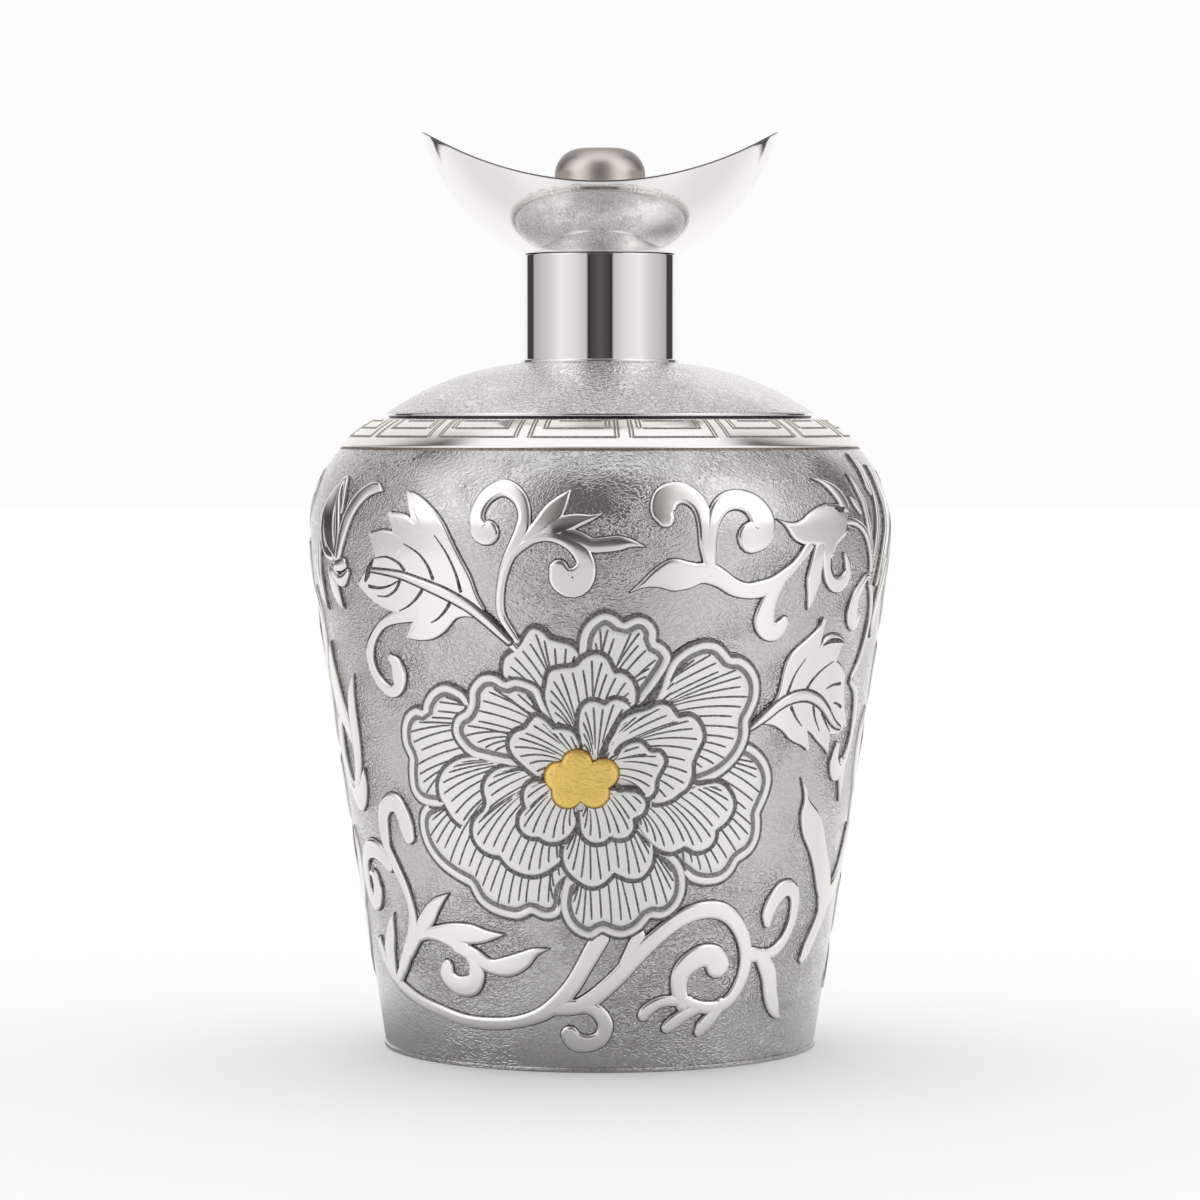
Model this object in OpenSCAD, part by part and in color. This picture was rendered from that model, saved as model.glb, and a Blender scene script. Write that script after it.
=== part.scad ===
// Stoppered silver vessel: a tapering jar with chased peonies, a lift-off domed
// lid with a polished neck, and a stopper shaped like a boat-shaped ingot.
// Millimetres. +Z is up, the origin is the centre of the foot on the table,
// and the front of the vessel faces -Y.

/* [Jar] */
// Diameter of the side where it meets the foot rim
base_d = 68.2; // [62:0.2:76]
// Largest diameter, at the belly
belly_d = 92; // [88:0.5:98]
// Height of the belly above the table
belly_z = 82.5; // [74:0.5:92]
// Radius of the arc that eases the straight side into the belly
belly_arc = 62; // [45:1:80]
// Radius of the shoulder above the belly
shoulder_arc = 18.8; // [18.5:0.1:21]
// Rise of the shoulder from the belly to the ledge under the lid
shoulder_h = 17.2; // [17:0.1:18.2]
// Thickness of the raised silver wall
wall = 1; // [0.6:0.1:1.5]
// Thickness of the base plate
base_t = 1.2; // [0.8:0.1:2]
// Height of the foot rim
foot_h = 0.7; // [0.5:0.1:1.5]
// Width of the foot rim
foot_w = 3; // [2.5:0.1:5]
// How far the foot rim stands out past the side
foot_lip = 0.3; // [0.1:0.05:0.8]

/* [Mouth] */
// Distance from the lid's edge in to the collar that stands in the mouth
collar_in = 7.7; // [6:0.1:10]
// Wall of the collar
collar_t = 1; // [0.7:0.1:1.4]
// Height of the collar above the ledge
collar_h = 1.6; // [1.2:0.1:2]
// Length of the collar below the ledge
collar_drop = 3; // [1.5:0.1:6]

/* [Fret band] */
// Height of the band's lower edge below the ledge
band_drop = 4.5; // [4:0.1:7]
// Thickness of the band on the shoulder
band_t = 0.35; // [0.2:0.05:0.6]
// Width of bare shoulder between the band and the lid's edge, measured outwards
band_margin = 0.9; // [0.3:0.1:1.2]

/* [Flowers] */
// Height of the flower's centre above the table
flower_z = 46; // [42:0.5:50]
// Turn of the flower's centre to the left of the front
flower_turn = 4; // [0:0.5:8]
// Relief of the outer ring of petals
outer_relief = 0.6; // [0.3:0.1:1]
// Further relief of the inner ring of petals
inner_relief = 0.5; // [0.3:0.1:0.8]
// Further relief of the gilt centre
gilt_relief = 0.5; // [0.3:0.1:0.8]
// Distance of the outer petals from the flower's centre
outer_reach = 17.5; // [16:0.5:19]
// Distance of the inner petals from the flower's centre
inner_reach = 9; // [8:0.5:10]
// Radius of a petal's rounded end in the outer ring
outer_petal = 7.5; // [6:0.5:8]
// Radius of a petal's rounded end in the inner ring
inner_petal = 5.5; // [5:0.5:6.5]
// Radius of each of the gilt centre's lobes
gilt_lobe = 1.9; // [1.5:0.1:2.3]
// Distance of the gilt lobes from the flower's centre
gilt_reach = 3.2; // [2.6:0.1:4]
// Width of the ring of petals over its height
flower_aspect = 1.25; // [1:0.05:1.4]

/* [Lid] */
// Width of bare ledge outside the lid's edge
ledge_w = 0.9; // [0.3:0.1:1]
// Gap between the lid's edge and the ledge
lid_gap = 0.5; // [0.3:0.1:0.8]
// Height of the lid's upright edge
rim_h = 1; // [0.8:0.1:1.6]
// Rise of the dome from the upright edge to the foot of the neck
dome_h = 7.4; // [6.5:0.1:8.5]
// Radius of the dome's arc
dome_arc = 44.2; // [40:0.2:60]
// Thickness of the dome
lid_wall = 1; // [0.6:0.1:1.3]
// Thickness of the deck that closes the dome from below
deck_t = 0.8; // [0.5:0.1:1]
// Thickness of the sealing gasket under the deck
gasket_t = 1; // [0.8:0.1:1.4]
// How far the gasket stands out past the collar
gasket_lip = 0.6; // [0.2:0.1:1]
// Depth of the skirt that enters the mouth
skirt_h = 8; // [6:0.5:12]
// Wall of the skirt
skirt_t = 0.8; // [0.6:0.1:1.2]
// Width of the wire that stiffens the lid's edge
wire_w = 1.4; // [1:0.1:2]
// Height of the wire that stiffens the lid's edge
wire_h = 0.8; // [0.5:0.1:0.8]

/* [Neck] */
// Outer diameter of the polished neck
neck_d = 24.2; // [22:0.2:26]
// Wall of the neck
neck_t = 1.3; // [1:0.1:1.6]
// Height of the neck above the dome
neck_h = 16.9; // [15:0.1:20]
// Width of the bead at the foot of the neck
bead_w = 0.4; // [0.3:0.05:0.8]
// Height of the bead at the foot of the neck
bead_h = 0.5; // [0.3:0.05:0.8]

/* [Stopper] */
// Outer radius of the ingot's bowl
bowl_r = 29.2; // [27:0.2:31]
// Wall of the bowl
bowl_t = 0.9; // [0.7:0.1:1.2]
// Height of the rim's lowest point above the bottom of the bowl
rim_low = 13.1; // [12:0.1:15]
// Radius of the arc along which the rim rises to the two tips
rim_arc = 49.4; // [46:0.2:60]
// Diameter of the domed button at its foot
button_d = 16; // [14:0.2:18]
// Diameter of the button below its rounded top
button_top_d = 14.4; // [13:0.2:16]
// Height of the button's top above the bottom of the bowl
button_h = 19.5; // [18:0.1:21]
// Radius of the button's rounded top edge
button_round = 4.3; // [3:0.1:5]
// Length of the plug below the top of the neck
plug_h = 17; // [15.5:0.1:18]
// Depth of the upper sealing ring below the top of the neck
seal_1 = 5.5; // [5:0.1:6]
// Depth of the lower sealing ring below the top of the neck
seal_2 = 9.5; // [9:0.1:10.5]
// Diameter of a sealing ring's section
seal_d = 2; // [1.6:0.1:2.2]
// Diameter of the stud that ties the stopper together
stud_d = 4; // [3:0.5:5]
// Length of the stud inside the button, above the bottom of the bowl
stud_grip = 10; // [8:0.5:12]
// Width of the nut across its flats
nut_af = 7; // [6.5:0.5:8]
// Height of the nut
nut_h = 2.8; // [2.4:0.1:3]
// Thickness of the washer
washer_t = 0.6; // [0.4:0.1:0.8]
// Diameter of the washer
washer_d = 9; // [8.8:0.1:10]

/* [Fits] */
// Soldered and threaded seams, on each side
seam = 0.05; // [0.02:0.01:0.08]
// Clearance of the skirt in the collar, all round
skirt_gap = 0.25; // [0.15:0.05:0.4]
// Clearance of the plug in the neck, all round
plug_gap = 0.4; // [0.3:0.05:0.6]
// Clearance of the bowl over its seat on the neck
seat_gap = 0.2; // [0.15:0.05:0.3]
// Running clearance of the sealing rings and the gasket
run_gap = 0.05; // [0.03:0.01:0.08]
// Clearance of a sealing ring between the sides of its groove
groove_gap = 0.1; // [0.05:0.05:0.2]
// Clearance of the washer in the recess under the plug, all round
washer_gap = 0.3; // [0.1:0.1:0.5]
// Depth of the nut above the mouth of its recess
nut_room = 0.7; // [0.5:0.1:1]
// Depth of the stud's foot above the mouth of the recess
stud_room = 0.3; // [0.1:0.1:0.6]
// Clearance over the stud's tip inside the button
tip_gap = 0.5; // [0.3:0.1:1]

/* [Hidden] */
$fn = 96;

// Colours of the finishes
MATT = [0.62, 0.62, 0.62];
BRIGHT = [0.9, 0.9, 0.89];
SATIN = [0.5, 0.48, 0.46];
GILT = [0.85, 0.65, 0.2];
SEAL = [0.85, 0.84, 0.8];

// A length that reaches past the whole vessel
FAR = 2 * (belly_d + belly_z);
// Overlap of a cutting tool past the face that it cuts
CUT = 1;

// The jar's outline: a straight side, tangent to the belly's arc, then the shoulder
base_r = base_d / 2;
belly_r = belly_d / 2;
ledge_z = belly_z + shoulder_h;
belly_c = [belly_r - belly_arc, belly_z];
shoulder_c = [belly_r - shoulder_arc, belly_z];
to_base = [base_r, 0] - belly_c;
side_turn = atan2(to_base.y, to_base.x) + acos(belly_arc / norm(to_base));
side_normal = [cos(side_turn), sin(side_turn)];
side_top = belly_c + belly_arc * side_normal;

// Heights in the lid
lid_r = shoulder_c.x + sqrt(pow(shoulder_arc, 2) - pow(shoulder_h, 2)) - ledge_w;
lid_z = ledge_z + lid_gap;
gasket_z = ledge_z + collar_h;
deck_z = gasket_z + gasket_t;
neck_r = neck_d / 2;
bore_r = neck_r - neck_t;
dome_edge = [lid_r, lid_z + rim_h];
dome_crown = [neck_r, lid_z + rim_h + dome_h];
dome_chord = dome_crown - dome_edge;
dome_c = (dome_edge + dome_crown) / 2
    + [-dome_chord.y, dome_chord.x] / norm(dome_chord)
    * sqrt(pow(dome_arc, 2) - pow(norm(dome_chord) / 2, 2));
neck_top = dome_crown.y + neck_h;

// Radii in the mouth
collar_r = lid_r - collar_in;
skirt_r = collar_r - collar_t - skirt_gap;

// Heights and radii in the stopper
bowl_z = neck_top + sqrt(pow(bowl_r + seat_gap, 2) - pow(neck_r, 2));
bowl_foot = bowl_z - bowl_r;
plug_r = bore_r - plug_gap;
plug_z = neck_top - plug_h;
seal_r = seal_d / 2;
seal_ring_r = bore_r - run_gap - seal_r;
groove_r = seal_ring_r - seal_r - run_gap;
recess_r = washer_d / 2 + washer_gap;
recess_top = plug_z + nut_room + nut_h + washer_t;
stud_r = stud_d / 2;
stud_foot = plug_z + stud_room;
stud_top = bowl_foot + stud_grip;

// Relief of the inner petals above the wall
petal_top = outer_relief + inner_relief;
// Directions of the petals round the flower's centre, in degrees from its right
OUTER_PETALS = [4, 38, 68, 100, 134, 166, 198, 226, 256, 284, 312, 338];
INNER_PETALS = [20, 72, 124, 172, 218, 268, 322];
// The gilt centre has five round lobes
GILT_LOBES = 5;

// The jar's half section, drawn in by inset (or grown where inset is negative)
module jar_outline(inset) {
    side_low = [base_r, 0] - inset * side_normal;
    side_high = side_top - inset * side_normal;
    below = side_low - (side_high - side_low) * (CUT + foot_h) / norm(side_high - side_low);
    intersection() {
        union() {
            polygon([[0, below.y], below, side_high, [0, side_high.y]]);
            intersection() {
                translate(belly_c) circle(belly_arc - inset, $fn = 360);
                translate([0, side_high.y]) square([FAR, belly_z - side_high.y]);
            }
            intersection() {
                translate(shoulder_c) circle(shoulder_arc - inset, $fn = 180);
                translate([shoulder_c.x, belly_z]) square(FAR);
            }
            translate([0, belly_z]) square([shoulder_c.x, shoulder_arc - inset]);
        }
        translate([0, -FAR]) square([FAR, FAR + ledge_z - inset]);
    }
}

// A ring of rectangular section between two radii, from z up
module ring(inner_r, outer_r, z, height) {
    translate([0, 0, z]) difference() {
        cylinder(r = outer_r, h = height);
        translate([0, 0, -CUT]) cylinder(r = inner_r, h = height + 2 * CUT);
    }
}

// A skin of the jar between two heights of relief above the wall
module relief_skin(low, high) {
    rotate_extrude($fn = 180) difference() {
        jar_outline(-high);
        jar_outline(-low);
    }
}

module body_shell() {
    color(MATT) rotate_extrude($fn = 180) difference() {
        jar_outline(0);
        jar_outline(wall);
        translate([0, -FAR]) square([FAR, FAR + foot_h]);
        square([collar_r + seam, FAR]);
    }
}

module base_plate() {
    color(MATT) rotate_extrude($fn = 180) intersection() {
        jar_outline(wall + seam);
        translate([0, foot_h]) square([FAR, base_t]);
    }
}

module foot_rim() {
    color(MATT) ring(base_r - foot_w, base_r + foot_lip, 0, foot_h);
}

module mouth_collar() {
    color(BRIGHT) ring(collar_r - collar_t, collar_r,
        ledge_z - collar_drop, collar_drop + collar_h);
}

// The band of key fret follows the shoulder's arc just outside the lid
module fret_band() {
    band_inner = lid_r + band_margin;
    color(BRIGHT) rotate_extrude($fn = 180) intersection() {
        difference() {
            jar_outline(-band_t);
            jar_outline(0);
        }
        translate([band_inner, ledge_z - band_drop]) square([FAR, band_drop]);
    }
}

// One ring of round-ended petals, seen from the front
module petals(directions, reach, petal_r) {
    for (a = directions)
        translate([flower_aspect * reach * cos(a), reach * sin(a)]) circle(petal_r, $fn = 48);
    circle(reach, $fn = 64);
}

// An outline on the front elevation, thrown on to the wall between two reliefs
module on_wall(low, high) {
    intersection() {
        relief_skin(low, high);
        rotate([0, 0, -flower_turn]) translate([0, 0, flower_z])
            rotate([90, 0, 0]) linear_extrude(FAR) children();
    }
}

module peony() {
    color(BRIGHT) {
        on_wall(0, outer_relief) petals(OUTER_PETALS, outer_reach, outer_petal);
        on_wall(0, petal_top) petals(INNER_PETALS, inner_reach, inner_petal);
    }
}

module gilt_centre() {
    color(GILT) on_wall(petal_top, petal_top + gilt_relief) {
        for (i = [0 : GILT_LOBES - 1])
            rotate(90 + i * 360 / GILT_LOBES) translate([gilt_reach, 0]) circle(gilt_lobe, $fn = 32);
        circle(gilt_reach, $fn = 48);
    }
}

module back() {
    rotate([0, 0, 180]) children();
}

// The lid's half section over the dome, drawn in by inset
module dome_outline(inset) {
    intersection() {
        translate(dome_c) circle(dome_arc - inset, $fn = 360);
        translate([0, lid_z - CUT]) square([lid_r - inset, FAR]);
    }
}

module lid_dome() {
    color(MATT) rotate_extrude($fn = 180) difference() {
        dome_outline(0);
        dome_outline(lid_wall);
        translate([0, lid_z - FAR]) square([FAR, FAR]);
        square([neck_r + seam, FAR]);
    }
}

module lid_rim_wire() {
    wire_r = lid_r - lid_wall - seam;
    color(BRIGHT) rotate_extrude($fn = 180) intersection() {
        dome_outline(lid_wall + seam);
        translate([wire_r - wire_w, lid_z]) square([wire_w, wire_h]);
    }
}

module lid_deck() {
    color(BRIGHT) rotate_extrude($fn = 180) intersection() {
        dome_outline(lid_wall + seam);
        translate([neck_r + seam, deck_z]) square([FAR, deck_t]);
    }
}

module lid_skirt() {
    color(BRIGHT) ring(skirt_r - skirt_t, skirt_r, deck_z - skirt_h, skirt_h);
}

module lid_gasket() {
    color(SEAL) ring(skirt_r + run_gap, collar_r + gasket_lip, gasket_z, gasket_t);
}

// The neck's top is hollowed so that the bowl seats in it
module neck_tube() {
    color(BRIGHT) difference() {
        ring(bore_r, neck_r, deck_z, neck_top - deck_z + CUT);
        translate([0, 0, bowl_z]) sphere(bowl_r + seat_gap, $fn = 180);
    }
}

module neck_bead() {
    color(BRIGHT) rotate_extrude() difference() {
        translate([neck_r + seam, dome_crown.y - CUT]) square([bead_w, CUT + bead_h]);
        translate(dome_c) circle(dome_arc + seam, $fn = 360);
    }
}

module ingot_bowl() {
    color(BRIGHT) difference() {
        translate([0, 0, bowl_z]) sphere(bowl_r, $fn = 180);
        translate([0, 0, bowl_z]) sphere(bowl_r - bowl_t, $fn = 180);
        translate([0, FAR / 2, bowl_foot + rim_low + rim_arc]) rotate([90, 0, 0])
            cylinder(r = rim_arc, h = FAR, $fn = 360);
        translate([0, 0, bowl_foot - CUT]) cylinder(r = stud_r + seam, h = bowl_t + 2 * CUT);
    }
}

module ingot_button() {
    foot_r = button_d / 2;
    top_r = button_top_d / 2;
    shoulder_z = bowl_foot + button_h - button_round;
    color(SATIN) difference() {
        intersection() {
            rotate_extrude() {
                polygon([[0, bowl_foot], [foot_r, bowl_foot], [top_r, shoulder_z], [0, shoulder_z]]);
                translate([0, shoulder_z]) square([top_r - button_round, button_round]);
                intersection() {
                    translate([top_r - button_round, shoulder_z]) circle(button_round);
                    translate([top_r - button_round, shoulder_z]) square(button_round);
                }
            }
            translate([0, 0, bowl_z]) sphere(bowl_r - bowl_t - seam, $fn = 180);
        }
        translate([0, 0, bowl_foot - CUT])
            cylinder(r = stud_r + seam, h = CUT + stud_grip + tip_gap);
    }
}

// The plug hangs under the bowl, with two ring grooves and a nut recess
module stopper_plug() {
    groove_h = seal_d + 2 * groove_gap;
    color(BRIGHT) difference() {
        translate([0, 0, plug_z]) cylinder(r = plug_r, h = plug_h);
        translate([0, 0, bowl_z]) sphere(bowl_r + seam, $fn = 180);
        for (depth = [seal_1, seal_2])
            ring(groove_r, neck_r, neck_top - depth - groove_h / 2, groove_h);
        translate([0, 0, plug_z - CUT]) cylinder(r = stud_r + seam, h = plug_h + 2 * CUT);
        translate([0, 0, plug_z - CUT]) cylinder(r = recess_r, h = recess_top - plug_z + CUT);
    }
}

module stopper_stud() {
    color(BRIGHT) translate([0, 0, stud_foot]) cylinder(r = stud_r, h = stud_top - stud_foot);
}

module stopper_washer() {
    color(BRIGHT) ring(stud_r + seam, washer_d / 2, recess_top - washer_t, washer_t);
}

module stopper_nut() {
    nut_z = recess_top - washer_t - nut_h;
    color(BRIGHT) translate([0, 0, nut_z]) difference() {
        cylinder(d = nut_af / cos(30), h = nut_h, $fn = 6);
        translate([0, 0, -CUT]) cylinder(r = stud_r + seam, h = nut_h + 2 * CUT);
    }
}

// A round-section sealing ring in a groove of the plug
module seal_ring(depth) {
    color(SEAL) translate([0, 0, neck_top - depth]) rotate_extrude()
        translate([seal_ring_r, 0]) circle(seal_r, $fn = 48);
}

body_shell();
base_plate();
foot_rim();
mouth_collar();
fret_band();
peony();  // front_peony
back() peony();  // back_peony
gilt_centre();  // front_gilt_centre
back() gilt_centre();  // back_gilt_centre
lid_dome();
lid_rim_wire();
lid_deck();
lid_skirt();
lid_gasket();
neck_tube();
neck_bead();
ingot_bowl();
ingot_button();
stopper_plug();
stopper_stud();
stopper_washer();
stopper_nut();
seal_ring(seal_1);  // upper_seal_ring
seal_ring(seal_2);  // lower_seal_ring
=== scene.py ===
"""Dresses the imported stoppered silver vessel: turned silver, chased relief, gilt hearts and a studio."""

import logging
import math
from bisect import bisect_right
from dataclasses import dataclass, field
from enum import Enum
from typing import Callable, ClassVar, Iterable, Sequence

import bmesh
import bpy
from bpy.types import Material, Node, NodeSocket, NodeTree, Object
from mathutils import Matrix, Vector


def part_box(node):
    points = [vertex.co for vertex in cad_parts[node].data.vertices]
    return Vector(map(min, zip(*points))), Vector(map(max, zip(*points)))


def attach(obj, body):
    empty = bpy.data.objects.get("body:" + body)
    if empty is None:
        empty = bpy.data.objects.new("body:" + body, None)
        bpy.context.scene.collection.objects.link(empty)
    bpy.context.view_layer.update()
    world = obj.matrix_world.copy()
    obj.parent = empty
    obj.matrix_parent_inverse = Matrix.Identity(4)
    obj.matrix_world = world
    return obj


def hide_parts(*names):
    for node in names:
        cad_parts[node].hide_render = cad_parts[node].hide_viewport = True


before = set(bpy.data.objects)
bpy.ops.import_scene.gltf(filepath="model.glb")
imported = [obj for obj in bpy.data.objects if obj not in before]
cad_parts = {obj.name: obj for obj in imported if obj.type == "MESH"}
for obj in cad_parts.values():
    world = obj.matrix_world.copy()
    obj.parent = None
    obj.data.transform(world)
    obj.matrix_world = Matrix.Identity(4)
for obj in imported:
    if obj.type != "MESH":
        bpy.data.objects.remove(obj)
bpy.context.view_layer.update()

LOG = logging.getLogger("vessel")
MM = 0.001
MERGE = 1e-6
SLIVER = 1e-7
BOWL_R = 29.2
TURNED_SHARP = 28.0
EDGE_HOLD = 2.5
LEAF_VEIN_HALF = 0.25
LEAF_VEIN_TAPER = 0.19

BMesh = bmesh.types.BMesh
Pair = tuple[float, float]
Triple = tuple[float, float, float]
Colour = Triple
Quad = tuple[float, float, float, float]
Section = list[Pair]
WallPoint = tuple[float, ...]
Sheet = list[list[Quad]]


class Slot(Enum):
    """Material slots of the record that made pieces take."""

    MATT = "matt_silver"
    CHASED = "chased_silver"
    BRIGHT = "bright_silver"
    MIRROR = "mirror_silver"
    SATIN = "satin_silver"
    GILT = "gilt"


class Body(Enum):
    """Bodies that made pieces ride on."""

    VESSEL = "vessel"
    LID = "lid"
    STOPPER = "stopper"


class Side(Enum):
    """Faces of the jar that carry a flower, as a turn in degrees from the front."""

    FRONT = 0.0
    BACK = 180.0

    @property
    def label(self) -> str:
        """Name of the face, as its pieces and nodes have it."""
        return self.name.lower()


class Crease(Enum):
    """Angles in degrees past which an edge stays sharp."""

    RELIEF = 60.0
    FRET = 50.0
    BOWL = 45.0
    TURNED = 40.0


class Socket(Enum):
    """Types of a node group's sockets."""

    VALUE = "NodeSocketFloat"
    COLOUR = "NodeSocketColor"


def box_mm(node: str) -> tuple[Vector, Vector]:
    """Corners of a CAD node in millimetres.

    Args:
        node: Name of the node.

    Returns:
        Its lowest and highest corners.
    """
    low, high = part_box(node)
    return low / MM, high / MM


def arc(centre: Pair, radius: float, start: float, end: float, count: int) -> Section:
    """Points along an arc of a half section.

    Args:
        centre: Radius and height of the arc's centre.
        radius: Radius of the arc.
        start: First angle in degrees from level.
        end: Last angle in degrees from level.
        count: Number of chords.

    Returns:
        The points, both ends included.
    """
    angles = [math.radians(start + (end - start) * i / count) for i in range(count + 1)]
    return [(centre[0] + radius * math.cos(a), centre[1] + radius * math.sin(a)) for a in angles]


def smooth_path(points: Sequence[WallPoint], step: float) -> list[WallPoint]:
    """Runs a smooth curve through points on the wall.

    Args:
        points: Turn, height and any further values of each point.
        step: Distance between samples in millimetres.

    Returns:
        Samples along the curve, both ends included.
    """
    mm_per_degree = 0.72
    ends = [points[0], *points, points[-1]]
    samples: list[WallPoint] = []
    for a, b, c, d in zip(ends, ends[1:], ends[2:], ends[3:]):
        length = math.hypot((c[0] - b[0]) * mm_per_degree, c[1] - b[1])
        count = max(2, math.ceil(length / step))
        for i in range(count):
            t = i / count
            samples.append(tuple(
                q + 0.5 * t * (r - p + t * (2 * p - 5 * q + 4 * r - s + t * (3 * (q - r) + s - p)))
                for p, q, r, s in zip(a, b, c, d)))
    samples.append(points[-1])
    return samples


def run_lengths(spots: Sequence[Vector]) -> list[float]:
    """Measures along a line of points.

    Args:
        spots: The points in order.

    Returns:
        Distance of each point from the first, along the line.
    """
    lengths = [0.0]
    for a, b in zip(spots, spots[1:]):
        lengths.append(lengths[-1] + (b - a).length)
    return lengths


@dataclass(frozen=True)
class JarWall:
    """Outline of the jar in millimetres: a straight side, a belly arc and a shoulder arc."""

    base_r: float = 34.1
    belly_z: float = 82.5
    belly_arc: float = 62.0
    belly_steps: int = 10
    shoulder_arc: float = 18.8
    shoulder_steps: int = 28
    thickness: float = 1.0
    foot_h: float = 0.7
    belly_r: float = field(default_factory=lambda: box_mm("body_shell")[1].x)
    ledge_z: float = field(default_factory=lambda: box_mm("body_shell")[1].z)
    mouth_r: float = field(default_factory=lambda: box_mm("mouth_collar")[1].x)

    @property
    def belly_c(self) -> Pair:
        """Centre of the belly arc."""
        return self.belly_r - self.belly_arc, self.belly_z

    @property
    def shoulder_c(self) -> Pair:
        """Centre of the shoulder arc."""
        return self.belly_r - self.shoulder_arc, self.belly_z

    @property
    def lean(self) -> float:
        """Angle of the straight side from upright.

        Returns:
            The angle in radians.
        """
        across = self.base_r - self.belly_c[0]
        reach = math.hypot(across, self.belly_z)
        return math.atan2(self.belly_z, across) - math.acos(self.belly_arc / reach)

    def section(self, z: float) -> Triple:
        """Radius of the wall at a height, with its outward normal.

        Args:
            z: Height in millimetres.

        Returns:
            Radius, and the normal's parts outward and upward.
        """
        rise = z - self.belly_z
        if rise < -self.belly_arc * math.sin(self.lean):
            return self.base_r + z * math.tan(self.lean), math.cos(self.lean), -math.sin(self.lean)
        size, centre = self.belly_arc, self.belly_c
        if rise >= 0:
            size, centre = self.shoulder_arc, self.shoulder_c
        out = math.sqrt(max(0.0, size * size - rise * rise))
        return centre[0] + out, out / size, rise / size

    def at(self, turn: float, z: float, lift: float) -> Vector:
        """Point on or above the wall, in metres.

        Args:
            turn: Degrees from the front, to the right.
            z: Height in millimetres.
            lift: Distance above the wall in millimetres.

        Returns:
            The point in the model's frame.
        """
        radius, out, up = self.section(z)
        reach = radius + lift * out
        angle = math.radians(turn)
        return Vector((reach * math.sin(angle), -reach * math.cos(angle), z + lift * up)) * MM

    def moved(self, point: WallPoint, along: Sequence[float]) -> Pair:
        """Shifts a wall point by a distance on the wall's surface.

        Args:
            point: Turn and height to start from.
            along: Millimetres round the wall and up it.

        Returns:
            Turn and height of the new point.
        """
        radius, out, _ = self.section(point[1])
        return point[0] + math.degrees(along[0] / radius), point[1] + along[1] * out

    def outline(self, inset: float) -> Section:
        """Half section from the foot up to the ledge, drawn in from the wall.

        Args:
            inset: Distance inside the outer face.

        Returns:
            Points from the foot to the ledge.
        """
        lean = math.degrees(self.lean)
        rise = (self.ledge_z - inset - self.belly_z) / (self.shoulder_arc - inset)
        top = math.degrees(math.asin(rise))
        foot_r = self.base_r + self.foot_h * math.tan(self.lean) - inset / math.cos(self.lean)
        return [
            (foot_r, self.foot_h),
            *arc(self.belly_c, self.belly_arc - inset, -lean, 0, self.belly_steps),
            *arc(self.shoulder_c, self.shoulder_arc - inset, 0, top, self.shoulder_steps)[1:],
        ]


WALL = JarWall()


@dataclass(frozen=True)
class ReliefStyle:
    """Cross section of a raised line: steps of distance inside its outline, lift and darkness."""

    steps: tuple[Triple, ...]
    base: float = 0.0

    def at(self, inside: float) -> Pair:
        """Lift and darkness at a distance inside the outline.

        Args:
            inside: Millimetres inside the outline, less than zero outside it.

        Returns:
            Lift above the wall in millimetres and darkness from 0 to 1.
        """
        if inside <= self.steps[0][0]:
            return self.base + self.steps[0][1], self.steps[0][2]
        for (d0, h0, k0), (d1, h1, k1) in zip(self.steps, self.steps[1:]):
            if inside <= d1:
                t = (inside - d0) / (d1 - d0)
                return self.base + h0 + (h1 - h0) * t, k0 + (k1 - k0) * t
        return self.base + self.steps[-1][1], self.steps[-1][2]


class Chasing(Enum):
    """Kinds of chased line."""

    SCROLL = ReliefStyle(((-0.3, -0.05, 1), (-0.1, 0.02, 1), (0.0, 0.14, 1), (0.07, 0.4, 0.2),
                          (0.14, 0.5, 0), (0.6, 0.52, 0), (1.6, 0.54, 0)))
    VINE = ReliefStyle(((-0.3, -0.05, 0.6), (-0.1, 0.02, 0.6), (0.0, 0.1, 0.5), (0.08, 0.22, 0.1),
                        (0.16, 0.28, 0), (0.6, 0.3, 0), (1.6, 0.31, 0)))
    RIB = ReliefStyle(((-0.36, -0.07, 1), (-0.3, 0.0, 1), (-0.05, 0.01, 1), (0.08, 0.16, 0.3),
                       (0.26, 0.24, 0), (0.6, 0.28, 0)), 0.575)
    VEIN = ReliefStyle(((-0.06, -0.05, 1), (0.12, 0.04, 1)), 0.57)
    KEY = ReliefStyle(((-0.08, -0.03, 0.3), (0.0, 0.03, 0.7), (0.06, 0.025, 1)), 0.35)


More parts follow.
